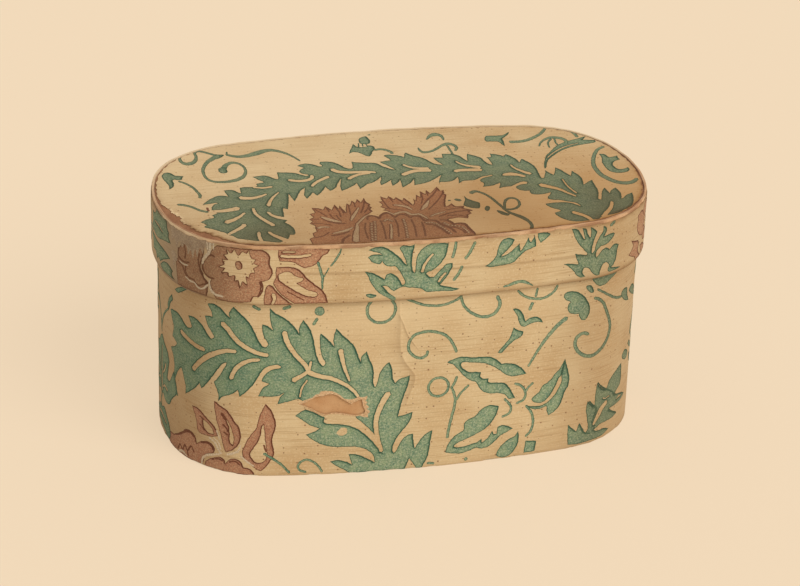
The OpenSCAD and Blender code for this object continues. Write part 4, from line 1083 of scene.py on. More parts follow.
        [(-117.5, 45), (-115, 46), (-112.8, 43), (-112.6, 38.5), (-114.5, 36), (-117, 36.5),
         (-118.5, 40)],
        [(150, 25.5, 1), (153, 24.5), (154.5, 21), (155, 18.5), (158, 19), (161.5, 20.5, 1), (161, 17),
         (161.5, 13.5, 1), (158, 12), (155, 9), (153.5, 5), (153.5, 1), (155, -3), (158, -3.5),
         (162.5, -1, 1), (162.5, -5), (160, -8), (155, -9.5), (150, -8), (147.5, -4), (147, 3),
         (147.5, 11), (149.5, 18)],
        [(52.5, -56), (54.5, -56.5), (57, -60), (59.5, -63.5), (57.5, -65.5), (55, -64), (53, -60)],
        [(37, -29.5, 1), (38.5, -34.5), (41.5, -38.5), (44.3, -42), (43.8, -46), (42, -50.5), (39, -50),
         (35, -47.5), (33, -44), (34, -40.5), (36, -36)],
        [(48, -47.5), (49.5, -49.5), (48.5, -53), (46.5, -56), (45.2, -54), (45.8, -50.5)],
    ],
    "slit": [
        ([(-57, 22), (-58, 18), (-62, 15), (-68, 14.5), (-74, 17)], [2.5]),
        ([(-100, 9), (-94, 7), (-88, 8)], [1.8]),
        ([(-135, -25), (-128, -25.5), (-122, -24.5), (-117, -23)], [2.5, 4]),
        ([(-112, -6.5), (-108, -8), (-103, -8), (-97, -5.5), (-94, -3.5)], [3.5, 1.5]),
        ([(-85, -2), (-89, -7), (-92.5, -13), (-95, -19), (-96, -22)], [1, 2.6]),
        ([(-107, -25), (-107, -33), (-105, -40), (-102, -47), (-99, -53.5)], [2, 3]),
        ([(-114, -31), (-118, -36), (-123, -40.5), (-128.5, -43.5)], [1.5, 3.5]),
        ([(-117.5, -49.5), (-120, -53), (-125, -57.5), (-130.5, -62.5)], [3, 2]),
        ([(-98.5, -32.5), (-96.5, -38), (-93, -42), (-87, -45.5)], [2, 3.5]),
        ([(-110.5, -63), (-111.5, -69), (-111.5, -78)], [2, 2.6]),
        ([(-104, -64), (-102, -69), (-98, -74.5), (-94.5, -80)], [2, 4]),
        ([(-60.5, 5), (-57, 10), (-52, 14.5), (-46.5, 18.5)], [2, 2.5]),
        ([(-41, 30), (-38.5, 26.5), (-33, 24), (-26, 23), (-18, 22.5), (-13, 20.5)], [3.5, 2]),
        ([(-33, 13), (-29, 16.5), (-24, 19), (-17, 20)], [2.6, 2]),
        ([(9.5, 30), (12, 26), (17, 22.5), (24.5, 21)], [2, 2.5]),
        ([(5, 13), (10, 16), (15, 18), (25, 17.5)], [3, 3.5]),
        ([(47, 29.5), (48.5, 25.5), (52, 21.5), (57, 18.5), (60.5, 17)], [1.5, 3]),
        ([(42, 13), (46, 14), (52, 13.5), (60, 12.5)], [2.8, 3.5]),
        ([(83, 17), (84, 11.5), (87, 6), (90, 2), (92, 0.5)], [1.5, 3]),
        ([(94, -20), (100, -25), (105, -30), (108, -35.5), (112, -42)], [4, 1.5]),
        ([(111.5, -13), (111.3, -19), (111.5, -25), (112.5, -31), (114, -37)], [1, 1.5]),
        ([(133.5, -55.5), (131.5, -61), (128.5, -66.5), (124, -72.5), (120.5, -78)], [2, 3]),
        ([(112, 25), (118, 32), (125, 38.5), (132, 43), (141, 46.5)], [0.6, 0.9, 0.9, 0.6]),
        ([(111.5, -83), (109.5, -76), (106, -71), (102.5, -67.5)], [3]),
    ],
    "leafEye": [[(72.5, 0), (74, 3), (79, 4), (83, 2), (88, -3), (86, -5), (82, -2), (76, -1)]],
    "stem": [
        ([(-148, 28), (-144, 23), (-140.5, 16), (-139, 9), (-138, 2), (-139, -1.5)], [1.5, 2.2]),
        ([(-155, -10.5), (-150.5, -12.5), (-146, -17), (-142.5, -22), (-138, -25.5)], [2]),
        ([(-116, 39), (-114, 45), (-111.5, 50), (-107, 53.5), (-103, 51.5), (-100.5, 46), (-100, 40),
          (-101, 34), (-103.5, 28.5), (-108, 24), (-113, 22), (-118, 21.5), (-123, 22.5), (-127, 25.5),
          (-129, 31), (-129.3, 38), (-128.5, 45), (-126, 52), (-123, 57.5), (-119, 62), (-114, 66.5)],
          [4.5, 4, 3, 2.5, 2, 1.8, 2, 2.4, 3, 3, 2.6, 2.2, 2, 2, 2, 2.2, 2.4, 2.6, 3, 3.5, 4.5]),
        ([(-135, 77), (-138, 74), (-140.5, 69), (-141.3, 63), (-140, 58), (-137, 56), (-133, 58),
          (-130.3, 63), (-129.3, 69), (-129.3, 74), (-127, 77), (-123, 75), (-119, 71), (-116, 68)],
          [2, 2, 3.5, 2, 2, 2]),
        ([(-108, 67.5), (-104, 64.5), (-100, 63), (-95, 63.5), (-90, 65.5), (-85, 68), (-80, 70.5),
          (-75, 70.5), (-70, 67), (-66, 62), (-63, 56), (-60.5, 50), (-60, 48.5)],
          [2, 3, 4.5, 3, 2, 1.2]),
        ([(-107, 72), (-108, 67)], [1.2]),
        ([(-13, 72), (-14, 66)], [0.9]),
        ([(-10.5, 71), (-11, 66)], [0.9]),
        ([(-8, 70), (-8, 67)], [0.9]),
        ([(-4.5, 59), (0, 59.5), (4, 57), (6.3, 53), (6.3, 51)], [1.8, 2.5]),
        ([(36.5, 71.5), (39, 75.5), (42, 78.5), (45, 79.3), (47.5, 77.5), (48.5, 73.5), (48, 68.5)],
          [1, 4, 1.2]),
        ([(26.8, 57.5), (26.8, 53), (28, 49.5), (32, 49), (36, 51), (40, 54.5), (44, 58.5), (48, 61),
          (51, 60.5), (53.3, 57), (53.5, 53), (51.5, 48.5)], [1, 2.5, 1.8, 2, 2, 3, 2.5, 1.6]),
        ([(48, 58), (48, 52), (48, 47), (48, 43)], [1.6]),
        ([(94, 57), (99, 56.5), (104, 57), (109, 59.5), (114, 63), (118.5, 67), (122, 71.5), (125, 76)],
          [3, 2]),
        ([(143.5, 58), (143.5, 63), (142.5, 67), (139.5, 70)], [2.4, 2.6, 1.2]),
        ([(112, 46), (115, 52), (119, 56.5), (124, 59.5), (129, 58.5), (132.5, 55.5), (133.5, 51),
          (132, 47)], [1.2, 1.4, 2, 3, 3, 2.4]),
        ([(124, 57), (120.5, 52), (119, 47), (118.5, 42.5)], [1.3]),
        ([(126.5, 57), (125.5, 51), (125.5, 45.5)], [1.3]),
        ([(157, 37.5), (152, 34), (148.5, 29), (145, 22), (142, 14), (140, 6), (139.5, -2), (140, -10),
          (142.5, -17), (146, -23), (151, -26.5), (156, -26.5), (160, -24), (162.5, -21)],
          [1.8, 2.4, 2.8, 3.6, 4.2, 3.6, 2.4]),
        ([(43, -25), (46, -23), (49, -24.5), (52, -29), (54.5, -36), (56, -43), (57.5, -50), (58.5, -56),
          (60.5, -61.5), (64, -66.5), (67, -71.5), (69, -78), (69, -84), (67, -89)],
          [3, 2, 2, 2.2, 2, 2.5, 3.5, 2.5, 2]),
        ([(59, -53), (60.5, -47), (63, -41), (66.5, -38), (70, -39), (71.3, -44), (70, -50),
          (66.5, -54.5), (62, -56), (59, -55.2)], [1.8]),
        ([(30, -34), (32.5, -35.5)], [2.5]),
        ([(-92.5, -66), (-92, -70)], [1.6]),
    ],
    "broad": 1.5,
    "dot": [(-2, 86, 1), (25.5, -34.5, 1)],
    "rust": [([(-137, -19), (-137, -24)], [1.6])],
}

# how a cut of the block prints: ink inside it, and a darker line along its edge, inside it or around it
cuts = {
    "red": {"ink": "red", "line": "redLine", "edge": 0.8},
    "redStroke": {"ink": "redLine", "line": "redLine", "edge": 0},
    "redGap": {"ink": "", "line": "redLine", "edge": -0.7, "over": ("red", "redLine")},
    "redVein": {"ink": "redPale", "line": "redLine", "edge": -0.6, "over": ("red", "redLine")},
    "leaf": {"ink": "green", "line": "greenLine", "edge": 0.85},
    "leafGap": {"ink": "", "line": "greenLine", "edge": -0.8, "over": ("green", "greenLine")},
    "leafStroke": {"ink": "greenLine", "line": "greenLine", "edge": 0},
    "stem": {"ink": "green", "line": "greenLine", "edge": 0.36},
    "veil": {"ink": "veil", "line": "veil", "edge": 0},
    "chalk": {"ink": "chalk", "line": "chalk", "edge": 0},
    "rust": {"ink": "redLine", "line": "redLine", "edge": 0},
    "fibre": {"ink": "fibre", "line": "fibre", "edge": 0},
    "bare": {"ink": "", "line": "", "edge": 0},
}
shadeSide = np.array([0.9, 0.43])  # the side of a leaf where the block left most colour
cutStep = 1.3
inkThick = 0.1
pool = {"line": 1.6, "fade": 1.5, "reach": 4, "least": 0.25, "stem": 0.2, "stemReach": 1.2}


# slight shake of the cutter's knife along an outline, which comes back counter-clockwise
def handCut(poly, seed):
    if windingArea(poly) < 0:
        poly = poly[::-1]
    rng = np.random.default_rng(seed)
    run = np.cumsum(np.linalg.norm(np.roll(poly, -1, 0) - poly, axis=1))
    shake = sum(np.sin(run * 2 * math.pi / size + rng.uniform(0, 6.3)) for size in (2.9, 4.3, 7.1)) * 0.07
    return poly + outwardNormals(poly) * shake[:, None]


# ways to draw one entry of a design, each of which gives its outlines
def asShape(entry, design):
    return [smoothLine(entry, True, cutStep)]


def asStroke(entry, design):
    return [strokeOutline(*entry, cutStep)]


# a stroke that prints broader where it runs from side to side, by the design's own share
def asBroadStroke(entry, design):
    path, widths = entry
    broad = design.get("broad", 1)
    return [strokeOutline([(p[0], p[1] / broad) for p in path], widths, cutStep) * (1, broad)]


def asBeads(entry, design):
    return [circle(x, y, 0.8) for x, y in smoothLine(entry, False, 2.9)]


def asRing(entry, design):
    (x, y, radius), width = entry
    outer = circle(x, y, radius + width / 2)
    inner = circle(x, y, radius - width / 2)[::-1]
    return [np.concatenate([outer, outer[:1], inner[-1:], inner])]


def asDot(entry, design):
    return [circle(*entry)]


# kinds of cut in the order the blocks were printed, with the design's word for each
printOrder = (
    ("red", "red", asShape), ("redGap", "eye", asShape), ("red", "seed", asShape),
    ("veil", "veil", asShape), ("redGap", "light", asStroke), ("redVein", "vein", asStroke),
    ("redStroke", "shade", asStroke), ("chalk", "chalk", asStroke), ("redVein", "lace", asBeads),
    ("leaf", "leaf", asShape), ("leafGap", "slit", asBroadStroke), ("leafStroke", "leafShade", asStroke),
    ("leafGap", "leafEye", asShape), ("stem", "stem", asBroadStroke), ("stem", "ring", asRing),
    ("stem", "dot", asDot), ("rust", "rust", asStroke), ("bare", "bare", asShape),
)


def cutDesign(design):
    made = [(kind, poly) for kind, word, draw in printOrder for entry in design.get(word, [])
            for poly in draw(entry, design)]
    return [(kind, handCut(poly, k)) for k, (kind, poly) in enumerate(made)]


# one net over a sheet and the lines on it, the middles of its triangles, and which of them are paper
def sheetNet(sheet, more, step):
    outline, holes = sheet["outline"], sheet["holes"]
    lines = [(outline, closedLinks(len(outline)))] + sheet["lines"]
    lines += [(hole, closedLinks(len(hole))) for hole in holes] + more
    flat, tris = flatNet(lines, looseGrid(outline.min(0), outline.max(0), step))
    centres = flat[tris].mean(1)
    keep = isInside(centres, outline)
    for hole in holes:
        keep &= ~isInside(centres, hole)
    return flat, tris, centres, keep


# prints the cuts on a sheet, each above its lowest height: every triangle of the net is given to an ink
def printSheet(name, cutList, sheet, body):
    low, high = sheet["outline"].min(0), sheet["outline"].max(0)
    lines = []
    shown = []
    for kind, poly, lowest in cutList:
        if (poly.max(0) < low).any() or (poly.min(0) > high).any():
            continue
        edge = cuts[kind]["edge"]
        inward = 1 if edge > 0 else -1
        facing = np.clip(outwardNormals(poly) @ shadeSide * inward, 0, 1)
        width = abs(edge) * sheet["lineWidth"] * (0.62 + 0.78 * facing)
        shown.append((kind, poly, lowest, facing, width))
        lines.append((poly, closedLinks(len(poly))))
        if edge:
            lines.append(offsetRuns(poly, -width * inward))
        if kind in ("leaf", "red"):
            lines.append(offsetRuns(poly, -width - pool["line"]))
    flat, tris, centres, keep = sheetNet(sheet, lines, 3.2)
    given = np.full(len(tris), "", dtype="U10")
    pooledAndShaded = np.zeros(len(flat))
    for kind, poly, lowest, facing, width in shown:
        cut = cuts[kind]
        near = nearOutline(centres, poly, width.max() + 0.1)
        near = near[centres[near, 1] > lowest]
        within = isInside(centres[near], poly)
        gap, which = edgeDistance(centres[near], poly)
        lined = gap < width[which]
        given[near[within]] = cut["ink"]
        if cut["edge"] > 0:
            given[near[within & lined]] = cut["line"]
        elif cut["edge"] < 0:
            beside = near[~within & lined]
            given[beside[np.isin(given[beside], cut["over"])]] = cut["line"]
        # more colour stands along the printed side of each edge
        if kind in ("leaf", "red", "leafGap", "redGap"):
            near = nearOutline(flat, poly, pool["reach"])
            gap, which = edgeDistance(flat[near], poly)
            stands = np.exp(-gap / pool["fade"]) * (pool["least"] + (1 - pool["least"]) * facing[which])
            pooledAndShaded[near] = np.maximum(pooledAndShaded[near], stands)
        if kind == "stem":
            near = nearOutline(flat, poly, 1)
            near = near[edgeDistance(flat[near], poly)[0] < pool["stemReach"]]
            pooledAndShaded[near] = np.maximum(pooledAndShaded[near], pool["stem"])
    full, share, dull = sheet["depth"](*flat.T)
    marks = {"pooledAndShaded": np.clip(pooledAndShaded + full, 0, 1),
             "soilAndShade": np.clip(sheet["soilAndShade"](*flat.T) * share + dull, 0, 1)}
    for ink in inks:
        picked = tris[keep & (given == ink)]
        if len(picked):
            layer = makeShell(name + "_" + ink, flat, picked, sheet["place"], inkThick, 0, sheet["rows"],
                              marks)
            finishPiece(layer, body, "wallpaper", inks[sheet["inks"].get(ink, ink)])


# the sheet itself: one net over its outline, without its holes
def cutSheet(name, sheet, step, thick):
    flat, tris, centres, keep = sheetNet(sheet, [], step)
    marks = {mark: sheet[mark](*flat.T) for mark in groundMarks if mark in sheet}
    return makeShell(name, flat, tris[keep], sheet["place"], 0, -thick, sheet["rows"], marks)


def levelLine(start, end, v, step):
    count = max(2, math.ceil(abs(end - start) / step) + 1)
    t = np.linspace(0, 1, count)[:, None]
    return np.array([[start, v]]) * (1 - t) + np.array([[end, v]]) * t


# outline of a band's flat sheet, with points up its sides so that they can turn with the section
def bandOutline(lower, upper, section):
    folds = section[0]
    sides = []
    for (x0, y0), (x1, y1) in ((lower[-1], upper[0]), (upper[-1], lower[0])):
        heights = np.concatenate([np.arange(min(y0, y1) + 2.5, max(y0, y1) - 1, 2.5), folds[1:-1]])
        heights = np.unique(heights[(heights > min(y0, y1) + 0.2) & (heights < max(y0, y1) - 0.2)])
        share = (heights - y0) / (y1 - y0)
        side = np.column_stack([x0 + (x1 - x0) * share, heights])
        sides.append(side if y1 > y0 else side[::-1])
    return np.concatenate([lower, sides[0], upper, sides[1]])


# net lines along a wrinkle and on either side of it, so that the net can rise there
def wrinkleLines(path, across):
    line = smoothLine(path, False, 2.5)
    return [(line + np.array(across) * k, openLinks(len(line))) for k in (-1.6, -1, -0.4, 0, 0.4, 1, 1.6)]


# flat sheet of a band between two edges, with net lines where its section turns
def bandSheet(band, lower, upper, wrinkles, rowCount):
    section = band["section"]
    left, right = lower[0, 0], lower[-1, 0]
    turns = [levelLine(left, right, v, 3.2) for v in section[0][1:-1]]
    return {
        "outline": bandOutline(lower, upper, section),
        "holes": [],
        "lines": [(line, openLinks(len(line))) for line in turns] + wrinkles,
        "place": lambda s, v, lift: placeOnBand(band, s, v, lift),
        "rows": {"low": (left, section[0][0]), "high": (right, section[0][-1]), "count": rowCount},
    }


paperThick = 0.3
paperStep = 3
edgeStep = 2.5
seam = {"fromBack": 20, "gap": 0.1}


# ends of a sheet that meets itself at the back
def sheetEnds(whole):
    meet = whole / 2 - seam["fromBack"]
    return meet - whole + seam["gap"], meet - seam["gap"]


# paper round the wall: turned over the top edge, torn at the lower left of the front, wrinkled over the lap
bodyLow, bodyHigh = nodeBox("body_cover")
bodyPaper = {
    "out": bodyHigh.x - wallHigh.x,
    "turnIn": -2.75,
    "turnDown": 10,
    "wave": 0.28,
    "tornRise": 0.5,
    "tornReach": 5,
    "frayed": 0.9,
    "wrinkles": [
        {"path": [(-15.5, 48), (-13, 56), (-10.5, 63), (-9.2, 69), (-10, 73), (-13, 77), (-17, 83),
                  (-19.5, 90), (-20.3, 98), (-20.3, 108), (-21, 118), (-22, 131)],
         "half": 1.6, "rise": 0.35, "shade": 0.34, "spread": 4.5},
        {"path": [(-5.5, 88.5), (-8.5, 92), (-12, 97), (-15.5, 103), (-18.5, 111), (-22, 119)],
         "half": 0.8, "rise": 0.3, "shade": 0.6, "spread": 0.9},
    ],
    "tear": [(-86, 54.5, 1), (-82, 56.3), (-79, 58), (-75.5, 59.8), (-71, 60.3), (-67, 61.3), (-63.5, 61),
             (-60.5, 59.3), (-57.5, 56.8), (-54.5, 54.8), (-52, 53.2, 1), (-49.5, 54.5), (-47, 56),
             (-45, 56.3, 1), (-44.4, 53), (-43.6, 50), (-42.6, 46.5), (-45.5, 44.8), (-50, 44.5),
             (-55, 45.8), (-59.5, 46.7), (-64, 47.2), (-69, 46.2), (-73, 47.3), (-77, 49.8), (-81, 52)],
    "lip": [(-88, 55, 1), (-84.5, 57), (-81, 58.4), (-78, 59.5), (-76, 61.6, 1), (-74, 61.8),
            (-72.5, 63.6, 1), (-70, 63.8), (-66.5, 63.6), (-63, 62.4), (-60, 60.4), (-57.5, 58),
            (-54, 56.6), (-50, 57), (-47.5, 58.2, 1), (-44, 57.6), (-41.3, 58.4, 1), (-41.4, 56.5),
            (-42.6, 55, 1), (-41, 53.6), (-42.2, 52, 1), (-40, 50), (-41.4, 48.6, 1), (-39.3, 46.5),
            (-40.6, 44.6, 1), (-40.4, 42, 1), (-43.5, 42.6), (-46, 43.6, 1), (-50, 43.7), (-56, 44.8),
            (-61, 45.9, 1), (-66, 46.2), (-70, 45.3), (-74, 46.3), (-77, 48.3), (-80.5, 50.6),
            (-84, 53)],
}
bodyGirth = girth(bodyPaper["out"])
tearHole = handCut(smoothLine(bodyPaper["tear"], True, 1.1), 5)
tearLip = handCut(smoothLine(bodyPaper["lip"], True, 1.1), 6)


# how far along each fold a place lies beside it, and how much the fold shows there
def besideFolds(s, v):
    for fold in bodyPaper["wrinkles"]:
        line = smoothLine(fold["path"], False, 2)
        fade = np.clip((v - line[0, 1]) / 8, 0, 1) * np.clip((line[-1, 1] - v) / 4, 0, 1)
        yield fold, s - np.interp(v, line[:, 1], line[:, 0]), fade


def bodyLift(s, v):
    gap = edgeDistance(np.column_stack([s, v]), tearHole)[0]
    torn = bodyPaper["tornRise"] * np.clip(1 - gap / bodyPaper["tornReach"], 0, 1) ** 2
    lift = bodyPaper["wave"] * waves(s, v, 11, 60, 42) + torn
    for fold, beside, fade in besideFolds(s, v):
        lift += fold["rise"] * np.clip(1 - np.abs(beside) / (1.6 * fold["half"]), 0, 1) ** 1.5 * fade
    return lift


# darker towards the foot of the wall; painted shade at both ends, where the wall turns away from the light,
# and beside each fold
def bodySoilAndShade(s, v):
    foot = 0.06 * ramp(v, 40, 0) * (0.5 + waves(s, v, 12, 70, 60)) + 0.3 * ramp(v, 2, 0)
    turned = fromFront(s, bodyGirth)
    endShade = 0.46 * ramp(turned, -122, -162) + 0.34 * ramp(turned, 72, 117)
    soilAndShade = foot + endShade * ramp(np.abs(turned), 300, 240)
    for fold, beside, fade in besideFolds(s, v):
        soilAndShade += fold["shade"] * np.exp(beside / fold["spread"]) * (beside <= 0.3) * fade
    return np.clip(soilAndShade, 0, 1)


# painted light just below the rim, where the rim's shadow falls, and paler round the middle of the left
# half
def bodyPaleAndLit(s, v):
    litUnderRim = 0.4 * ramp(v, 94, 118) * ramp(np.abs(s + 5), 130, 30)
    return np.clip(litUnderRim + 0.3 * softPatch(s, v, (-60, 82), (38, 40)), 0, 1)


# how much fuller the ink stands, its share of the paper's soil and shade, and darkening of its own: painted
# shade, fuller towards the left end and duller at the right end
def bodyDepth(s, v):
    full = 0.3 * ramp(s, -60, -130) * ramp(s, -300, -260)
    return full, 0.4, 0.3 * ramp(s, 95, 125) * ramp(s, 300, 260)


bodyPaper["section"] = foldSection(
    [(bodyPaper["out"], bodyLow.z), (bodyPaper["out"], bodyHigh.z), (bodyPaper["turnIn"], bodyHigh.z),
     (bodyPaper["turnIn"], bodyHigh.z - bodyPaper["turnDown"])], 0.5, 0)
bodyPaper["lift"] = bodyLift
left, right = sheetEnds(bodyGirth)
footLine = levelLine(left, right, bodyLow.z, edgeStep)
foot = footLine[:, 0]
frayed = np.clip(8 * waves(foot, 0, 14, 60, 9) - 4, 0, 1)
footLine[:, 1] += bodyPaper["frayed"] * waves(foot, 0, 13, 25, 9) * frayed
turnedEdge = levelLine(right, left, bodyPaper["section"][0][-1], edgeStep)
wrinkles = []
for fold in bodyPaper["wrinkles"]:
    wrinkles += wrinkleLines(fold["path"], (fold["half"], 0))
bodySheet = {
    **bandSheet(bodyPaper, footLine, turnedEdge, wrinkles, 2),
    "holes": [tearHole],
    "soilAndShade": bodySoilAndShade,
    "paleAndLit": bodyPaleAndLit,
    "depth": bodyDepth,
    "inks": {},
    "lineWidth": 1,
}
paper = cutSheet("body_paper", bodySheet, paperStep, paperThick)
finishPiece(paper, "box", "wallpaper", wallpaper, "body_cover")
anyHeight = -math.inf
rimOnWall = {"along": 70, "up": 2, "from": 131}  # the rim's pattern on the part of the wall under it
bodyCuts = []
for kind, poly in cutDesign(bodyPrint):
    bodyCuts += [(kind, poly + (turn * bodyGirth / 2, 0), anyHeight) for turn in (-1, 0, 1)]
rimCuts = cutDesign(rimPrint)
for kind, poly in rimCuts:
    if kind != "veil":
        places = [rimOnWall["along"] + turn * bodyGirth / 2 for turn in (-2, -1, 0, 1)]
        bodyCuts += [(kind, poly + (along, rimOnWall["up"]), rimOnWall["from"]) for along in places]
bodyCuts.append(("fibre", tearLip, anyHeight))
printSheet("body_print", bodyCuts, bodySheet, "box")
print("wall paper made")

# paper round the lid's rim: turned in below, rubbed away along the top edge
rimLow, rimHigh = nodeBox("lid_rim_cover")
rimPaper = {
    "out": rimHigh.x - wallHigh.x,
    "turnIn": 1.75,
    "turnUp": 8,
    "top": 170.0,
    "ragged": 1.5,
    "wave": 0.2,
    "crease": [(-100, 153.9), (-60, 153), (0, 151.7), (60, 150.6), (122, 149.2)],
    "creaseRise": 0.3,
    "creaseHalf": 1.2,
}
rimGirth = girth(rimPaper["out"])
creaseLine = smoothLine(rimPaper["crease"], False, 3)


# height above the crease, and how much the crease shows there
def aboveCrease(s, v):
    return v - np.interp(s, creaseLine[:, 0], creaseLine[:, 1]), ramp(s, -100, -85) * ramp(s, 122, 107)


def rimLift(s, v):
    above, fade = aboveCrease(s, v)
    crease = rimPaper["creaseRise"] * np.exp(-(above / rimPaper["creaseHalf"]) ** 2) * fade
    return rimPaper["wave"] * waves(s, v, 21, 55, 30) + crease


# painted shade just below the crease, along the hem and at both ends, where they lie away from the light;
# dirt along the rubbed top edge
def rimSoilAndShade(s, v):
    above, fade = aboveCrease(s, v)
    crease = 0.3 * np.exp(-(above + 1) ** 2) * fade
    hemShade = 0.75 * ramp(v - rimLow.z, 2.5, 0)
    upper = 0.45 * ramp(rimPaper["top"] - v, 3.5, 0) * (0.4 + waves(s, v, 22, 20, 10))
    turned = fromFront(s, rimGirth)
    endShade = 0.6 * ramp(turned, -118, -168) * np.clip(2.6 + turned / 110, 0.4, 1)
    endShade += 0.34 * ramp(turned, 75, 120)
    return np.clip(crease + hemShade + upper + endShade * ramp(np.abs(turned), 300, 240), 0, 1)


# smudge on the left end
def rimSmoke(s, v):
    return 0.45 * ramp(s, -140, -165) * ramp(s, -240, -190)


# the ink's fullness, share of soil and shade, and own darkening: painted shade where the rim turns from the
# light, darkest at the left end and less at the right end
def rimDepth(s, v):
    leftEnd = 0.6 * ramp(s, -118, -148) * np.maximum(ramp(s, -190, -180), 0.05) * ramp(s, -255, -225)
    besideIt = 0.16 * ramp(s, -104, -110) * ramp(s, -190, -180)
    return 0, 0.6, leftEnd + besideIt + 0.14 * ramp(s, 80, 105) * ramp(s, 300, 240)


rimPaper["section"] = foldSection(
    [(rimPaper["turnIn"], rimLow.z + rimPaper["turnUp"]), (rimPaper["turnIn"], rimLow.z),
     (rimPaper["out"], rimLow.z), (rimPaper["out"], rimHigh.z)], 0.5, -1)
rimPaper["lift"] = rimLift
left, right = sheetEnds(rimGirth)
topLine = levelLine(right, left, rimPaper["top"], 1.6)
top = topLine[:, 0]
topLine[:, 1] += rimPaper["ragged"] * (waves(top, 0, 23, 9, 9) * waves(top, 0, 24, 40, 9) - 0.25)
rimSheet = {
    **bandSheet(rimPaper, levelLine(left, right, rimPaper["section"][0][0], edgeStep), topLine,
                wrinkleLines(rimPaper["crease"], (0, 1.5)), 4),
    "soilAndShade": rimSoilAndShade,
    "smoke": rimSmoke,
    "depth": rimDepth,
    "inks": {},
    "lineWidth": 1,
}
paper = cutSheet("rim_paper", rimSheet, paperStep, paperThick)
finishPiece(paper, "lid", "wallpaper", wallpaper, "lid_rim_cover")
shownCuts = []
for kind, poly in rimCuts:
    turns = (0,) if kind == "veil" else (-1, 0, 1)  # the rubbed place is at the front only
    shownCuts += [(kind, poly + (turn * rimGirth / 2, 0), anyHeight) for turn in turns]
printSheet("rim_print", shownCuts, rimSheet, "lid")
print("rim paper made")

# paper on the lid's top: its edge is ragged and worn back at the left
coverHigh = nodeBox("lid_top_cover")[1]
topPaper = {
    "z": coverHigh.z,
    "out": coverHigh.x - wallHigh.x,
    "wave": 0.25,
    "ragged": 0.8,
    "worn": 3.2,
    "wornFrom": -222,
    "wornTo": -128,
    "wornFade": 25,
    "step": 0.7,
}
topGirth = girth(topPaper["out"])


def topLift(x, y):
    return topPaper["wave"] * waves(x, y, 31, 90, 60)


# how far the left end is torn, from none to 1
def tornShare(s):
    turned = np.where(s > topGirth / 2, s - topGirth, s)
    fade = topPaper["wornFade"]
    return ramp(turned, topPaper["wornFrom"], topPaper["wornFrom"] + fade) * ramp(
        turned, topPaper["wornTo"], topPaper["wornTo"] - fade)


def topEdge():
    s = np.arange(0, topGirth, topPaper["step"])
    worn = tornShare(s)
    crumbs = waves(s, 0, 36, 2.6, 9) + 0.7 * waves(s, 0, 37, 1.3, 9)
    ragged = topPaper["ragged"] * waves(s, 0, 32, 11, 9)
    torn = worn * topPaper["worn"] * (0.1 + waves(s, 0, 33, 18, 9))
    return around(s, topPaper["out"], topPaper["out"] - (ragged + (0.25 + 2.1 * worn) * crumbs + torn))


topOutline = topEdge()


# distance from the edge, and how far the edge is torn at its nearest place
def besideEdge(x, y):
    gap, which = edgeDistance(np.column_stack([x, y]), topOutline)
    return gap, tornShare(which * topPaper["step"]) * ramp(y, -50, -25)


def topSoilAndShade(x, y):
    gap, torn = besideEdge(x, y)
    front = ramp(y, 30, -70) * (0.65 + 0.35 * ramp(x, -100, 50))
    dust = 0.02 + 0.46 * front * (0.7 + 0.6 * waves(x, y, 35, 120, 90))
    dust += 0.16 * softPatch(x, y, (55, -45), (50, 35))
    # painted shade close to the edge, most at the front, where the rim's edge stands above the paper; less
    # where the paper is torn
    rubbed = 0.75 * ramp(gap, 1.8, 0) + 0.3 * ramp(gap, 6, 0) * waves(x, y, 34, 30, 30)
    rubbed *= 1 - 0.9 * torn
    return np.clip(dust + rubbed * np.clip(0.6 - y / 90, 0.1, 1), 0, 1)


# pale where the paper was shaded, and white along its torn edge
def topFresh(x, y):
    gap, torn = besideEdge(x, y)
    shaded = 0.28 * ramp(x, 40, -20) * ramp(y, -30, 10)
    return np.clip(shaded + torn * ramp(gap, 1.12, 0.32), 0, 1)


def topStain(x, y):
    front = 0.3 * ramp(y, 45, -15) * ramp(x, -120, -50)
    return np.clip(front + 0.14 * ramp(x, 30, 90), 0, 1)


# the ink's fullness, share of soil and shade, and own soil, darkest near the front's middle
def topDepth(x, y):
    patches = 0.08 * softPatch(x, y, (20, 20), (90, 40)) + 0.3 * softPatch(x, y, (-22, -65), (60, 35))
    return 0.1, 1, 0.2 + 0.1 * ramp(x, 0, -120) + patches


topPaper["lift"] = topLift
topSheet = {
    "outline": topOutline,
    "holes": [],
    "lines": [offsetRuns(topOutline, np.full(len(topOutline), -0.9))],
    "place": lambda x, y, lift: placeOnTop(topPaper, x, y, lift),
    "rows": {"low": topOutline.min(0), "high": topOutline.max(0), "count": 1},
    "soilAndShade": topSoilAndShade,
    "paleAndLit": topFresh,
    "stain": topStain,
    "depth": topDepth,
    "inks": {"red": "redStained"},
    "lineWidth": 1.3,
}
paper = cutSheet("top_paper", topSheet, paperStep, paperThick)
finishPiece(paper, "lid", "wallpaper", wallpaper, "lid_top_cover")
printSheet("top_print", [(kind, poly, anyHeight) for kind, poly in cutDesign(topPrint)], topSheet, "lid")
print("top paper made")


def editAll():
    bpy.ops.object.mode_set(mode="EDIT")
    bpy.ops.mesh.select_all(action="SELECT")


def newPlane(name, **settings):
    bpy.ops.object.select_all(action="DESELECT")
    bpy.ops.mesh.primitive_plane_add(**settings)
    bpy.context.object.name = name
    return bpy.context.object


# carries the selected edges or points round the plan, arc by arc, and closes the ring
def spinRound(step):
    for (cx, cy), radius, first, last in planArcs:
        bpy.ops.mesh.spin(steps=max(2, round(radius * (last - first) / step)), angle=first - last,
                          center=(cx * mm, cy * mm, 0), axis=(0, 0, 1))
    bpy.ops.mesh.select_all(action="SELECT")
    bpy.ops.mesh.remove_doubles(threshold=0.02 * mm)
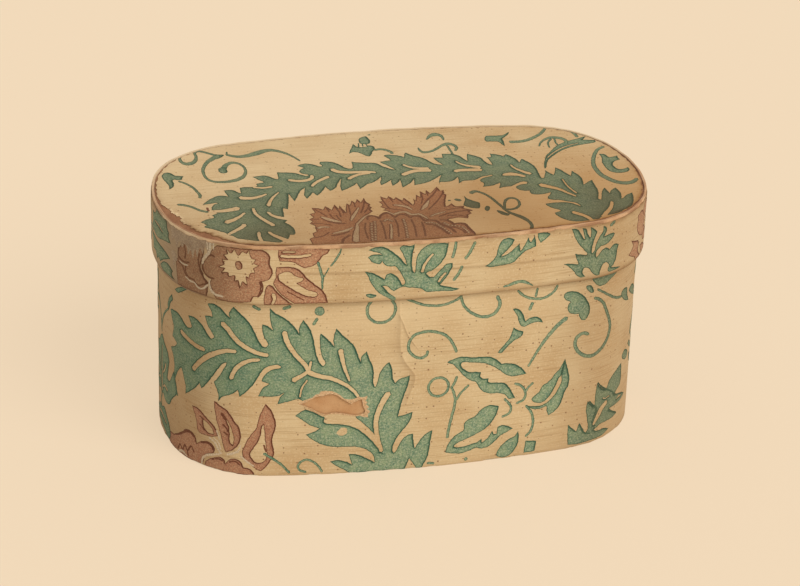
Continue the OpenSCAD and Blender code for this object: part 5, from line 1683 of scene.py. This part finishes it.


# lid's rim: band of pasteboard whose bare top edge is rubbed, and darker along the inside: painted shadow
# of the gap at the lid's top, with streaks of dirt
boardLow, boardHigh = nodeBox("lid_rim")
rimBoard = {
    "inner": 2.1,
    "outer": 4.1,
    "low": boardLow.z,
    "high": boardHigh.z,
    "rubbed": 0.35,
    "wear": 0.45,
    "wornFrom": boardHigh.z - 2,
    "strips": 5,
}
thick = rimBoard["outer"] - rimBoard["inner"]
tall = rimBoard["high"] - rimBoard["low"]
middle = wallHigh.y + (rimBoard["outer"] + rimBoard["inner"]) / 2
piece = newPlane("rim_board", size=1, rotation=(0, halfTurn / 2, 0))
bpy.ops.transform.resize(value=(1, thick * mm, tall * mm))
bpy.ops.transform.translate(value=(0, -middle * mm, (rimBoard["high"] + rimBoard["low"]) / 2 * mm))
bpy.ops.object.transform_apply(location=True, rotation=True, scale=True)
editAll()
bpy.ops.mesh.bevel(affect="VERTICES", offset=rimBoard["rubbed"] * mm, segments=3)
bpy.ops.mesh.select_mode(type="EDGE")
bpy.ops.mesh.select_all(action="DESELECT")
bpy.ops.object.mode_set(mode="OBJECT")
for edge in piece.data.edges:
    edge.select = all(piece.data.vertices[k].co.z > (rimBoard["high"] - 0.01) * mm for k in edge.vertices)
bpy.ops.object.mode_set(mode="EDIT")
bpy.ops.mesh.subdivide(number_cuts=rimBoard["strips"])
bpy.ops.mesh.select_mode(type="VERT")
bpy.ops.mesh.select_all(action="SELECT")
bpy.ops.mesh.delete(type="ONLY_FACE")
bpy.ops.mesh.select_all(action="SELECT")
spinRound(2.2)
bpy.ops.mesh.normals_make_consistent(inside=False)
bpy.ops.object.mode_set(mode="OBJECT")
for vert in piece.data.vertices:
    if vert.co.z > rimBoard["wornFrom"] * mm:
        vert.co.z -= rimBoard["wear"] * mm * max(0, 0.5 + noise.noise(vert.co * 90))
spots = np.array([vert.co[:] for vert in piece.data.vertices]) / mm
ringRun = np.arange(0, girth(rimBoard["inner"]), 0.6)
ringLine = around(ringRun, rimBoard["inner"], rimBoard["inner"])
gap, which = edgeDistance(spots[:, :2], ringLine)
stripe = np.clip(2.4 * waves(ringRun[which], gap, 61, 45, 0.45) - 0.9, 0, 1)
# painted shadow along the inner edge, where the gap to the lid's top lies, strongest at the front
inside = np.clip(1.15 - gap / 0.75, 0, 1) * (0.55 + 0.6 * waves(ringRun[which], 0, 62, 26, 9))
torn = tornShare(ringRun[which])
dirtAndShade = np.clip(0.5 * stripe + inside, 0, 1) * np.clip(0.75 - spots[:, 1] / 140, 0.25, 1)
dirtAndShade = np.maximum(dirtAndShade, torn * (0.25 + 0.75 * stripe) * ramp(gap, 2, 1.7))
dirtAndShade = dirtAndShade * (spots[:, 2] > rimBoard["wornFrom"])
bleached = np.maximum(0.85 * ramp(spots[:, 1], -15, 55), 0.6 * torn * ramp(gap, 1.7, 1.9))
for mark, values in (("soilAndShade", dirtAndShade), ("bleached", bleached)):
    piece.data.attributes.new(mark, "FLOAT", "POINT").data.foreach_set("value", values)
smoothPiece(piece, 60)
finishPiece(piece, "lid", "pasteboard", wornBoard, "lid_rim")
print("rim board made")


# flat oval of plain paper, spun round the plan from one point and filled
def plainOval(name, node, body, out):
    low, high = nodeBox(node)
    piece = newPlane(name, size=mm, location=(0, -(wallHigh.y + out) * mm, low.z * mm))
    bpy.ops.object.transform_apply(location=True, rotation=True, scale=True)
    editAll()
    bpy.ops.mesh.merge(type="CENTER")
    bpy.ops.mesh.select_all(action="SELECT")
    spinRound(5)
    bpy.ops.mesh.edge_face_add()
    bpy.ops.mesh.extrude_region_move(TRANSFORM_OT_translate={"value": (0, 0, (high.z - low.z) * mm)})
    bpy.ops.mesh.select_all(action="SELECT")
    bpy.ops.mesh.normals_make_consistent(inside=False)
    bpy.ops.object.mode_set(mode="OBJECT")
    smoothPiece(piece, 40)
    finishPiece(piece, body, "plain_paper", lining, node)


# plain linings: offsets from the wall's plan of the standing paper and of the edge turned onto the board
linings = {"thick": 0.2, "wave": 0.12, "step": 5, "edgeStep": 4, "wall": -2.65, "floorTurn": -11.65,
           "rim": 1.85, "rimTall": 30.5, "topTurn": -7.15, "floor": -11.85, "top": -7.35}


# lining round the inside of a band, with one edge turned onto the flat board
def plainBand(name, node, body, corners, seed):
    band = {"out": corners[1][0], "section": foldSection(corners, 0.4, 0)}
    band["lift"] = lambda s, v: linings["wave"] * waves(s, v, seed, 70, 50)
    first, last = band["section"][0][[0, -1]]
    left, right = seam["gap"], girth(band["out"]) - seam["gap"]
    lower = levelLine(left, right, first, linings["edgeStep"])
    upper = levelLine(right, left, last, linings["edgeStep"])
    paper = cutSheet(name, bandSheet(band, lower, upper, [], 2), linings["step"], linings["thick"])
    finishPiece(paper, body, "plain_paper", lining, node)


plainOval("bottom_paper", "bottom_cover", "box", 0)
plainOval("floor_paper", "floor_lining", "box", linings["floor"])
plainOval("lid_ceiling_paper", "lid_top_lining", "lid", linings["top"])
liningLow, liningHigh = nodeBox("wall_lining")
fold = liningLow.z + linings["thick"]
plainBand("wall_lining_paper", "wall_lining", "box",
          [(linings["wall"], liningHigh.z), (linings["wall"], fold), (linings["floorTurn"], fold)], 41)
liningLow = nodeBox("lid_rim_lining")[0]
fold = liningLow.z + linings["rimTall"]
plainBand("rim_lining_paper", "lid_rim_lining", "lid",
          [(linings["topTurn"], fold), (linings["rim"], fold), (linings["rim"], liningLow.z)], 42)
print("linings made")

for node, material in (("body_wall", board), ("bottom_board", board), ("lid_top_board", brownBoard),
                       ("body_wall_thread", thread), ("lid_rim_thread", thread)):
    nodes[node].data.materials.clear()
    nodes[node].data.materials.append(material)

# studio: pale floor, one large soft light from the front right and an even sky
studio = {"floor": "#F4DCBC", "bounce": "#E6DFD3", "glow": 0.75, "drop": 0.2, "sky": 0.58,
          "sun": 1.62, "sunTurn": 33, "sunRise": 41, "sunSize": 40}


# 1 where a surface is seen, straight or in a reflection, and 0 where it lights others
def isSeen(tree):
    path = addNode(tree, "ShaderNodeLightPath", {}).outputs
    either = compute(tree, "MAXIMUM", path["Is Camera Ray"], path["Is Glossy Ray"])
    return compute(tree, "MAXIMUM", either, path["Is Transmission Ray"])


floor = newPlane("studio_floor", size=30, location=(0, 0, -studio["drop"] * mm))
material, tree, shader = newMaterial("pale_floor", 1, 1.0)
seen = isSeen(tree)
seenColour = tuple(c * (1 - studio["glow"]) for c in linear(studio["floor"])[:3]) + (1,)
tree.links.new(blend(tree, seen, studio["bounce"], seenColour), shader.inputs["Base Color"])
shader.inputs["Emission Color"].default_value = linear(studio["floor"])
tree.links.new(compute(tree, "MULTIPLY", seen, studio["glow"]), shader.inputs["Emission Strength"])
floor.data.materials.append(material)

world = bpy.data.worlds.new("studio_world")
bpy.context.scene.world = world
world.use_nodes = True
tree = world.node_tree
sky = addNode(tree, "ShaderNodeBackground", {"Color": (1, 1, 1, 1), "Strength": studio["sky"]})
behind = addNode(tree, "ShaderNodeBackground", {"Color": linear(studio["floor"]), "Strength": 1})
both = addNode(tree, "ShaderNodeMixShader", {0: isSeen(tree), 1: sky.outputs[0], 2: behind.outputs[0]})
tree.links.new(both.outputs[0], tree.nodes["World Output"].inputs["Surface"])

sun = bpy.data.objects.new("soft_light", bpy.data.lights.new("soft_light", "SUN"))
sun.data.energy = studio["sun"]
sun.data.angle = math.radians(studio["sunSize"])
sun.rotation_euler = (math.radians(90 - studio["sunRise"]), 0, math.radians(studio["sunTurn"]))
bpy.context.scene.collection.objects.link(sun)

# camera fitted to the photograph's outline
view = {"turn": -14.48, "rise": 25.92, "roll": 1.88, "away": 1898, "aimZ": 85.9, "lens": 122.76,
        "sensor": 36, "shift": (0.004, 0.00375)}
turn, rise, roll = (math.radians(view[key]) for key in ("turn", "rise", "roll"))
back = Vector((math.sin(turn) * math.cos(rise), -math.cos(turn) * math.cos(rise), math.sin(rise)))
level = Vector((math.cos(turn), math.sin(turn), 0))
upright = back.cross(level)
right = level * math.cos(roll) + upright * math.sin(roll)
up = upright * math.cos(roll) - level * math.sin(roll)
camera = bpy.data.objects.new("camera", bpy.data.cameras.new("camera"))
camera.data.lens = view["lens"]
camera.data.sensor_width = view["sensor"]
camera.data.shift_x, camera.data.shift_y = view["shift"]
spot = (Vector((0, 0, view["aimZ"])) + back * view["away"]) * mm
camera.matrix_world = Matrix.Translation(spot) @ Matrix((right, up, back)).transposed().to_4x4()
bpy.context.scene.collection.objects.link(camera)
bpy.context.scene.camera = camera
bpy.context.scene.view_settings.view_transform = "Standard"

print("scene made")
